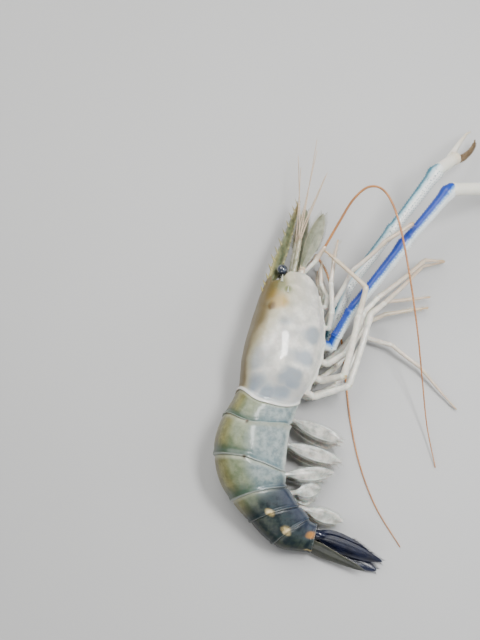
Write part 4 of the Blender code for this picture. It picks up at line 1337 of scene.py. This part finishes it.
BLUE_CLAW = claw_finish(
    "blue_claw", (0.010, 0.045, 0.31), (0.12, 0.27, 0.52), (0.70, 0.75, 0.75), (0.03, 0.08, 0.24),
    0.6, (0.80, 0.83, 0.84), 0.16,
)
PALE_CLAW = claw_finish(
    "pale_claw", (0.03, 0.16, 0.23), (0.36, 0.52, 0.58), (0.74, 0.75, 0.71), (0.06, 0.11, 0.15),
    0.9, (0.20, 0.28, 0.31), 0.76,
)
CREAM = ivory_finish(
    "cream_hand", (0.78, 0.75, 0.66), (0.74, 0.70, 0.60), (0.62, 0.48, 0.28),
    (0.60, 0.62, 0.60), 0.1,
)
FELT = clouded(
    "brown_felt", 1500.0, (0.10, 0.065, 0.035), (0.26, 0.18, 0.10), (0.3, 0.7), (0.4, 0.0005),
    Roughness=0.92,
)

# %% [markdown]
# A hand ends in two fingers that meet along toothed edges. The fixed one grows out of the palm,
# and the moving one hinges beside it. Both are tubes along a bowed line with a hooked tip. Teeth
# are blunt cones along the inner edge, two of them larger than the others, as in life.

# %% The claws' fingers
BIG_TEETH = (4, 7)
def finger(form, root, tip, bow, inward, radii):
    """Adds a finger with teeth on its inner edge and a tip that hooks inward."""
    points = []
    thick = []
    for k in range(25):
        u = k / 24
        hook = inward * (1.1 * swell(0.86, 1.0, u))
        points.append(root.lerp(tip, u) + bow * (4 * u * (1 - u)) + hook)
        radius = radii[0] + (radii[1] - radii[0]) * u**1.2
        thick.append(radius * (1 + 0.12 * bump_at(0.05, 0.05, u)))

    def mark(out, u):
        return 0.9 + 0.1 * u, 0.5 + 0.45 * swell(0.8, 1, u), out.z, 0.0

    tube(form, points, thick, 14, flat=0.85, mark=mark)
    for k in range(2, 20):
        grown = 0.75 if k in BIG_TEETH else 0.32
        foot = points[k] + inward * (thick[k] - 0.35)
        spike(form, foot, foot + inward * (0.35 + grown), 0.75 * grown + 0.2, sides=7, blunt=0.5)
    return points, thick


print("teeth that are larger on each finger:", BIG_TEETH)

# %% [markdown]
# The claws' joints were read from the photograph, where they run up to the right and cross under
# the other limbs. A joint may have two radii, one before it and one after it, because a claw's
# wrist is narrower than the hand that follows.

# %% The claws
CLAWS = {
    "right": (38, 6.6, (3.6, 3.6, 3.5, 3.4, (4.1, 3.4), (4.6, 4.3), 4.4), BLUE_CLAW, CREAM,
              "blue_shell", "cream_shell",
              ((43, 38, 18), (52, 53, 23), (86.7, 95, 36), (113.6, 125.7, 44), (152, 136, 22)),
              (187, 151, 4), (187, 142, 4)),
    "left": (38, 6.6, (3.2, 3.2, 3.4, 3.4, (3.9, 3.4), (4.7, 4.0), 4.2), PALE_CLAW, FELT,
             "ivory_shell", "brown_felt",
             ((43.8, 51.8, 9), (52, 71.7, 17), (80, 105.3, 34), (106.6, 139.5, 42),
              (121.6, 153.6, 30)),
             (138, 184, 8), (142, 176, 8)),
}
STUDDED_FROM = 2
WRIST = 5
HAND = 6
FINGER_ROOT = 2.1
CLAW_MARKS = (*LIMB_MARKS, "stud")
ARM_STUDS = (14, 1.9, 0.75, 0.42, CLAW_SIDE)
PALM_STUDS = (12, 2.2, 0.5, 0.36, UP)
FINGER_HAIRS = (0.8, 70, 1.3, 0.06)
FELT_HAIRS = (60, 1.1, 0.09, 1.0, 0.5)
for side, claw in CLAWS.items():
    s, coxa, radii, skin, finger_skin, slot, finger_slot, places, fixed_tip, moving_tip = claw
    name = "claw_" + side
    joints = joints_of(s, SEAT_OUT * SIDES[side], coxa, places)
    form = new_form(*CLAW_MARKS)
    lines = limb(form, joints, radii, 0, WRIST, CLAW_SIDE, 22, bow=0.006)
    for line in lines[STUDDED_FROM:]:
        stud_rows(form, *line, *ARM_STUDS)
    show(name, form, skin, slot, name + "_arm", name + "_wrist")

    palm_way = (joints[HAND] - joints[WRIST]).normalized()
    apart = Vector(fixed_tip) - Vector(moving_tip)
    apart = (apart - palm_way * apart.dot(palm_way)).normalized()
    form = new_form(*CLAW_MARKS)
    lines = limb(form, joints, radii, WRIST, HAND, UP, 22, bow=0.0)
    stud_rows(form, *lines[0], *PALM_STUDS)
    root = joints[HAND] - palm_way * 4 + apart * FINGER_ROOT
    points, _ = finger(form, root, Vector(fixed_tip), apart * 0.6, -apart, (2.2, 0.5))
    bristles(form, points[4], points[-1], *FINGER_HAIRS)
    show(name + "_hand", form, CREAM, "cream_shell", name + "_hand")

    form = new_form(*CLAW_MARKS)
    root = joints[HAND] - palm_way * 0.6 - apart * FINGER_ROOT
    points, thick = finger(form, root, Vector(moving_tip), apart * -2.0, apart, (2.1, 0.5))
    if side == "left":
        for k in range(2, 22):
            bristles(form, points[k], points[k + 1], thick[k], *FELT_HAIRS)
    else:
        bristles(form, points[4], points[-1], *FINGER_HAIRS)
    show(name + "_finger", form, finger_skin, finger_slot, name + "_finger")

# %% [markdown]
# Under the carapace the legs sit on the sternum, and a small block in front of it carries the eyes
# and the feelers. Cross grooves mark where one leg's segment ends and the next begins. Both are
# simple closed grids, because the shell and the limbs hide most of them.

# %% The thorax and the head
HEAD_FRONT = 77
HEAD_DROP = 1.4
HEAD_DEEP = 7.2
HEAD_WIDE = 6.4
THORAX_BEGIN = 6
THORAX_LENGTH = 60
SEGMENT = 10


def thorax_place(u, v):
    s = THORAX_BEGIN + THORAX_LENGTH * v
    corners = thorax_half(s)
    half = [(corners[0][0], 0.0), *corners, (corners[2][0], 0.0)]
    m = fold(u) * (len(half) - 1)
    k = min(int(m), len(half) - 2)
    belly = half[k][0] + (half[k + 1][0] - half[k][0]) * (m - k)
    out = half[k][1] + (half[k + 1][1] - half[k][1]) * (m - k)
    if m > 2.2:
        belly += 0.35 * math.cos(2 * math.pi * (s - 8) / SEGMENT)
    return at(s, belly, out if u <= 0.5 else -out)


form = new_form(*LIMB_MARKS)
wrap(form, 48, 60, thorax_place, lambda u, v: (0.1, 0.5, 0.0))
show("thorax_floor", form, IVORY, "ivory_shell", "thorax")
HEAD_FINISH = clouded(
    "head_olive_white", 300.0, (0.30, 0.30, 0.18), (0.60, 0.60, 0.54), (0.35, 0.65),
    (0.3, 0.0006), Roughness=0.35, Coat_Weight=0.3,
)


def head_place(u, v):
    turn = 2 * math.pi * u
    share = 1 - 0.06 * v - 0.5 * swell(0.93, 1.0, v)
    ridge = 1 + 0.05 * math.cos(6 * turn) * v
    belly = HEAD_DROP - HEAD_DEEP * share * ridge * math.cos(turn)
    right = HEAD_WIDE * share * ridge * math.sin(turn)
    return at(CUP + 0.3 + (HEAD_FRONT - CUP) * v, belly, right)


form = new_form()
wrap(form, 48, 24, head_place)
show("head_block", form, HEAD_FINISH, "ivory_shell", "head")

# %% [markdown]
# The eyes are black and glossy, on short olive stalks. Real ones are made of thousands of facets,
# so a fine grain of cells lies under the gloss. Stalk and eye are one tube here: it narrows
# behind the ball, and a mark along it tells the finish where the stalk ends.

# %% The eyes
HEAD_AHEAD, HEAD_DOWN, HEAD_RIGHT = axis_frame(HEAD_FRONT)[1:]
EYE_SEAT = (-3.4, 3.4)
EYE_WAYS = {"right": (0.3, -0.75, 0.6), "left": (0.85, -0.55, -0.35)}
EYE_RADIUS = 3.4
EYE_OUT = 6.0
STALK_STEPS = 8
BALL_STEPS = 15


def local_way(ahead, belly, right):
    """A direction at the head's front, from its parts ahead, to the belly and to the right."""
    return (HEAD_AHEAD * ahead + HEAD_DOWN * belly + HEAD_RIGHT * right).normalized()


def eye_finish():
    f = Finish("eye_black")
    stalk = f.mark("part").step(0.36, 0.26)
    cloud = f.noise(500.0, 2.0)
    colour = f.paint(
        (0.020, 0.024, 0.034),
        (cloud.step(0.4, 0.7) * 0.7, (0.09, 0.11, 0.14)),
        (stalk, f.mix(cloud, (0.07, 0.08, 0.05), (0.22, 0.23, 0.16))),
    )
    relief = f.relief((f.cells(5200.0), 0.05, 0.0001))
    return f.close(
        Base_Color=colour, Roughness=0.16, Coat_Weight=1.0, Coat_Roughness=0.03, Normal=relief,
    )


EYE_FINISH = eye_finish()
for side, sign in SIDES.items():
    root = at(HEAD_FRONT, EYE_SEAT[0], sign * EYE_SEAT[1])
    start = root + HEAD_AHEAD * 0.6
    way = local_way(*EYE_WAYS[side])
    points = [root - HEAD_AHEAD * 0.5, start]
    thick = [1.8, 1.75]
    for k in range(STALK_STEPS + 1):
        t = k / STALK_STEPS
        points.append(start + way * (0.5 + (EYE_OUT - 3.1) * t))
        thick.append(1.7 + 0.7 * swell(0.2, 1.0, t) - 0.25 * bump_at(1.0, 0.12, t))
    for k in range(1, BALL_STEPS + 1):
        turn = math.pi * (0.18 + 0.82 * k / BALL_STEPS)
        points.append(start + way * (EYE_OUT - (EYE_RADIUS + 0.2) * math.cos(turn)))
        thick.append(max(EYE_RADIUS * math.sin(turn), 0.02))
    form = new_form("part")
    tube(form, points, thick, 32, mark=lambda out, u: (u,), dome=(True, False))
    show("eye_" + side, form, EYE_FINISH, "dark_eye", "eye_" + side)

# %% [markdown]
# Two kinds of feeler grow under the eyes. The small ones have a three-part stalk and three short
# threads. A feeler is a tube along a smooth line, and its rings are a sine wave of the length
# that its points carry as a mark, so they keep their spacing round every bend.

# %% The small feelers
THREAD_STEPS = 14
THREAD_ROOTS = (-0.7, 0.0, 0.7)


def route(points, steps):
    """Points along a smooth curve through the given ones, steps to each stretch."""
    count = (len(points) - 1) * steps
    return [Vector(along_table([tuple(p) for p in points], k / count)) for k in range(count + 1)]


def thread_finish(name, base, dark, ring):
    """A ringed feeler's finish; ring is the length of one ring in millimetres."""
    f = Finish(name)
    along = f.mark("along")
    rings = (along * (2 * math.pi / ring)).math("SINE")
    cloud = f.noise(120.0, 3.0)
    colour = f.paint(
        base, (cloud.step(0.35, 0.7) * 0.6, dark), (rings.step(0.3, 0.9) * 0.45, dark)
    )
    relief = f.relief((rings, 0.35, 0.0002))
    return f.close(Base_Color=colour, Roughness=0.4, Normal=relief, Coat_Weight=0.2)


def feeler(form, line, wide, narrow, around=8):
    """Adds a thread along a line, marked with the length along it."""
    lengths = [0.0]
    for a, b in zip(line, line[1:]):
        lengths.append(lengths[-1] + (b - a).length)
    thick = [wide + (narrow - wide) * n / lengths[-1] for n in lengths]

    def mark(out, u):
        return (u * lengths[-1],)

    tube(form, line, thick, around, mark=mark)


ORANGE = thread_finish("feeler_orange", (0.50, 0.22, 0.07), (0.24, 0.10, 0.04), 1.6)
PALE_THREAD = thread_finish("thread_pale", (0.56, 0.44, 0.32), (0.34, 0.24, 0.15), 1.1)
SMALL_FEELER_SEAT = (2.1, 2.3)
SMALL_STALK_CLIMB = {"right": 5, "left": 3}
SMALL_FEELER_WAYS = {
    "right": ((92, 24, 52), (80, 16, 64), (66, 26, 44)),
    "left": ((86, 2, 50), (77, 7, 62), (66, 10, 46)),
}
for side, sign in SIDES.items():
    root = at(HEAD_FRONT, SMALL_FEELER_SEAT[0], sign * SMALL_FEELER_SEAT[1])
    way = toward(79, SMALL_STALK_CLIMB[side])
    joints = [root - way, root + HEAD_AHEAD * 2]
    for length in (10, 7, 6):
        joints.append(joints[-1] + way * length)
    form = new_form(*LIMB_MARKS)
    limb(form, joints, (1.8, 1.85, 1.75, 1.55, 1.35), 0, 4, bow=0.0)
    bristles(form, joints[1], joints[-1], 1.5, 110, 1.6, 0.06)
    show("antennule_stalk_" + side, form, OLIVE_LIMB, "ivory_shell")
    form = new_form("along")
    level = way.cross(UP).normalized()
    for place, (heading, climb, length) in zip(THREAD_ROOTS, SMALL_FEELER_WAYS[side]):
        start = joints[-1] - way * 1.2 + level * place + UP * (0.45 - abs(place))
        bent = toward(heading, climb) * length
        turn = start + way * 6
        ends = [start, start + way * 3, turn + bent * 0.3, turn + bent * 0.95 - UP * 2]
        feeler(form, route(ends, THREAD_STEPS), 0.5, 0.22)
    show("antennule_threads_" + side, form, PALE_THREAD, "orange_feeler", "antennule_" + side)

# %% [markdown]
# A leaf-shaped scale with a fringe of bristles stands over the root of each large feeler. In the
# light its face shows fine combed streaks, so the leaf finish stretches its noise along the leaf
# with the marks across and along. A painted highlight runs along one long edge of each leaf. The
# swimmerets and the tail fan wear the same finish.

# %% A finish for leaves
def leaf_finish(name, low, high, rim, rib, roughness=0.35, glow=0.1):
    """A leaf's finish between two colours, with its rim colour, and a streak colour that also
    paints a highlight along one long edge.
    """
    f = Finish(name)
    across = f.mark("across")
    along = f.mark("along")
    cloud = f.noise(200.0, 4.0, 0.6)
    combed = f.noise(1.0, 3.0, 0.6, f.joined(across * 16.0, along * 3.0, 0.0))
    edge = across.math("ABSOLUTE")
    colour = f.paint(
        f.mix(cloud.step(0.3, 0.7), low, high),
        (combed.step(0.5, 0.75) * 0.4, rib),
        (edge.step(0.85, 1.0) * 0.6, rim),
        # painted highlight: the streak colour lightens one long edge of every leaf
        (across.step(-0.75, -0.9) * 0.3, rib),
    )
    relief = f.relief((combed, 0.25, 0.0005))
    return f.close(
        Base_Color=colour, Roughness=roughness, Normal=relief, Coat_Weight=0.3,
        Coat_Roughness=0.12, Subsurface_Weight=glow, Subsurface_Scale=0.002,
    )


SCALE_FINISH = leaf_finish(
    "feeler_scale", (0.11, 0.12, 0.065), (0.22, 0.23, 0.15), (0.42, 0.41, 0.30),
    (0.40, 0.40, 0.30),
)

# %% [markdown]
# The large feelers are very long, orange-brown, and ringed all the way along. The photograph shows
# only pieces of them between other things, so the routes below are smooth lines through the
# places that do show. The right one arches over the claws and the left one lies on the floor.

# %% The large feelers and their scales
FEELER_SEAT = (6.5, 3.3)
FEELER_STEPS = 16
FEELER_ROUTES = {
    "right": ((36, 93, 29), (45, 107, 39), (53, 118, 48), (62, 123, 55), (71, 118, 58),
              (78, 100, 58), (84, 69, 52), (90, 36, 38), (95, 8, 20), (99, -17, 7),
              (104, -42, 0.9)),
    "left": ((32, 93, 12), (38, 84, 9.5), (42, 72, 6.5), (45, 58, 3.6), (48, 38, 1.3),
             (50, 14, 0.9), (52, -12, 0.8), (57, -40, 0.8), (66, -66, 0.7), (80, -90, 0.6)),
}
SCALE_TIPS = {"right": (36, 117, 26), "left": (26, 125, 13)}
SCALE_ACROSS = {"right": (-25, 24), "left": (-14, -28)}
SCALE_HALVES = (1.7, 2.6, 3.9, 4.9, 5.1, 4.6, 3.4, 1.0)
for side, sign in SIDES.items():
    root = at(HEAD_FRONT, FEELER_SEAT[0], sign * FEELER_SEAT[1])
    base_way = local_way(0.93, 0.3, sign * 0.2)
    start = root + HEAD_AHEAD
    end = start + base_way * 4.5
    beneath = (HEAD_DOWN - base_way * HEAD_DOWN.dot(base_way)).normalized()
    line = [Vector(place) for place in FEELER_ROUTES[side]]
    stalk_root = end - base_way * 1.9 + beneath * 1.3
    form = new_form(*LIMB_MARKS)
    base = [root - HEAD_AHEAD * 0.5, start + base_way, end]
    limb(form, base, (2.1, 2.5, 2.4), 0, 2, bow=0.0)
    elbow = stalk_root.lerp(line[0], 0.5) + beneath * 1.2
    limb(form, [stalk_root, elbow, line[0]], (1.4, 1.6, 1.3), 0, 2, bow=0.0)
    spike(form, end - beneath * 1.5, end - beneath * 2.6 + base_way * 2.4, 0.8, sides=9)
    bristles(form, root, end, 2.3, 60, 1.5, 0.06)
    show("antenna_base_" + side, form, IVORY, "ivory_shell", "antenna_base_" + side)

    form = new_form("along")
    feeler(form, route(line, FEELER_STEPS), 0.85, 0.33, 10)
    name = "antenna_" + side
    show(name, form, ORANGE, "orange_feeler", name + "_near", name + "_far")

    form = new_form(*LEAF_MARKS)
    leaf_root = end - base_way * 0.8 - beneath * 1.2
    shape = (leaf_root, Vector(SCALE_TIPS[side]), toward(*SCALE_ACROSS[side]), SCALE_HALVES)
    leaf(form, *shape, 1.3, 0.02, 0.3, along=44)
    fringe(form, *shape, 3.0, 90, 0.08, 0.02, start=0.35)
    show("antennal_scale_" + side, form, SCALE_FINISH, "olive_shell", "antennal_scale_" + side)

# %% [markdown]
# Five pairs of swimmerets hang under the pleon. Each has a short stalk and two soft leaves with
# bristled edges, whitish grey and a little translucent. In the photograph they point sideways and
# lie over each other. Each row names a seat along the axis and where the right and the left one
# end, so all ten come out of one loop.

# %% The swimmerets
STALK_SIDE = 0.24
STALK_OUT = 3.2
STALK_RADII = [1.9 - 0.4 * k / 16 for k in range(17)]
LEAF_GAP = 0.75
SWIMMERETS = (
    (-11, (46, -28, 16), (45, -30, 8)),
    (-27, (45, -40, 12), (43, -41, 5)),
    (-51, (40, -46, 10), (38, -47, 4.5)),
    (-69, (32, -55, 7), (30, -59, 2.5)),
    (-81, (45, -75, 7), (42, -73, 1.8)),
)
LEAF_HALVES = (1.5, 3.1, 3.9, 3.8, 2.9, 0.9)
SWIMMERET_FINISH = leaf_finish(
    "swimmeret_skin", (0.27, 0.28, 0.25), (0.58, 0.57, 0.51), (0.78, 0.77, 0.71),
    (0.80, 0.79, 0.73), 0.22, 0.25,
)
for n, (s, right_tip, left_tip) in enumerate(SWIMMERETS):
    deep = smooth(DEPTH, s)
    hollow = deep - PLEON_FORM[4] * deep / STATIONS[LARGEST][DEPTH]
    for (side, sign), tip in zip(SIDES.items(), (right_tip, left_tip)):
        tip = Vector(tip)
        root = at(s, hollow, sign * STALK_SIDE * smooth(WIDTH, s))
        bent = root + axis_frame(s)[2] * STALK_OUT
        way = (tip - bent).normalized()
        across = (way.cross(UP).normalized() * -1 + Vector((0, 0, 0.25 * sign))).normalized()
        rise = way.cross(across).normalized() * LEAF_GAP
        start = bent + way * 5.5
        inner_tip = start.lerp(tip, 0.85) - across * 3.5
        form = new_form(*LEAF_MARKS)
        stalk = route([root, bent + way * 0.8, bent + way * 7.5], 8)
        tube(form, stalk, STALK_RADII, 14, mark=lambda out, u: (0.2, u))
        outer = (start + rise, tip + rise, 0.03)
        inner = (start - rise, inner_tip - rise, -0.03)
        for first, last, bow in (outer, inner):
            leaf(form, first, last, across, LEAF_HALVES, 1.1, bow, 0.3, waves=0.55)
            fringe(form, first, last, across, LEAF_HALVES, 2.4, 60, 0.07, bow)
        name = f"swimmeret_{n + 1}_{side}"
        show(name, form, SWIMMERET_FINISH, "swimmeret", name)

# %% [markdown]
# The half-folded tail fan closes the body. Its leaves are nearly black with a blue gloss, and
# the pointed telson in the middle is dark olive. Both are leaf finishes with other colours.

# %% The tail fan's finishes
TAIL_FINISH = leaf_finish(
    "tail_navy", (0.002, 0.003, 0.010), (0.008, 0.012, 0.035), (0.03, 0.03, 0.04),
    (0.03, 0.04, 0.08), 0.20, 0.0,
)
TELSON_FINISH = leaf_finish(
    "telson_olive", (0.006, 0.009, 0.006), (0.025, 0.028, 0.016), (0.14, 0.13, 0.08),
    (0.06, 0.06, 0.035), 0.45, 0.0,
)

# %% [markdown]
# A telson and two uropods make the fan. The telson is one thick leaf with two pairs of small
# spines on its back. Each uropod is a short root that carries an inner and an outer leaf, turned
# a little against each other as in a fan that is half folded.

# %% The tail fan
TAIL_FACE = PLEON_SEAMS[5]
TELSON_HALVES = (4.6, 5.0, 4.4, 3.6, 2.8, 2.0, 0.8)
INNER_HALVES = (2.0, 4.6, 5.4, 5.2, 4.4, 3.0, 1.0)
OUTER_HALVES = (2.0, 5.0, 6.2, 6.2, 5.4, 3.8, 1.4)
UROPODS = {
    "right": (3.3, 40, (68, -99, 7), (61, -95, 8)),
    "left": (-3.3, -3, (65, -104, 1.2), (57, -101, 1.4)),
}
TELSON_SPINES = ((0.5, 2.2), (0.75, 1.4))
ROOT_RINGS = 16
ROOT_RADII = [
    2.5 + 0.3 * math.sin(math.pi * k / (ROOT_RINGS - 1)) - 0.5 * (k / (ROOT_RINGS - 1)) ** 3
    for k in range(ROOT_RINGS)
]
out = -axis_frame(TAIL_FACE)[1]
down = axis_frame(TAIL_FACE)[2]
form = new_form(*LEAF_MARKS)
root, tip, across = at(TAIL_FACE + 0.8, -4.4), Vector((57, -104, 7)), toward(58, 38)
leaf(form, root, tip, across, TELSON_HALVES, 2.6, 0.01, 0.35, along=40)
_, way, wide, top = leaf_frame(root, tip, across)
if top.dot(down) > 0:
    top = -top
for share, apart in TELSON_SPINES:
    for sign in SIDES.values():
        foot = root.lerp(tip, share) + wide * (sign * apart) + top * 0.7
        spike(form, foot, foot + way * 1.6 + top * 0.5, 0.35, sides=7)
show("telson", form, TELSON_FINISH, "olive_shell", "telson")
for side, (right, tilt, inner_tip, outer_tip) in UROPODS.items():
    root = at(TAIL_FACE + 0.8, 2.8, right)
    form = new_form(*LEAF_MARKS)
    line = [root + out * (0.4 * k) for k in range(ROOT_RINGS)]
    tube(form, line, ROOT_RADII, 20, mark=lambda out, u: (0.0, 0.0))
    for first, tip, turn, halves in (
        (root + out * 3 - down * 1.2, inner_tip, toward(65, tilt), INNER_HALVES),
        (root + out * 2.5 + down * 1.6, outer_tip, toward(57, tilt), OUTER_HALVES),
    ):
        leaf(form, first, Vector(tip), turn, halves, 1.4, 0.01, 0.3, along=40)
        fringe(form, first, Vector(tip), turn, halves, 2.2, 70, 0.07, 0.01, 0.55)
    show("uropod_" + side, form, TAIL_FINISH, "tail_shell", "uropod_" + side)
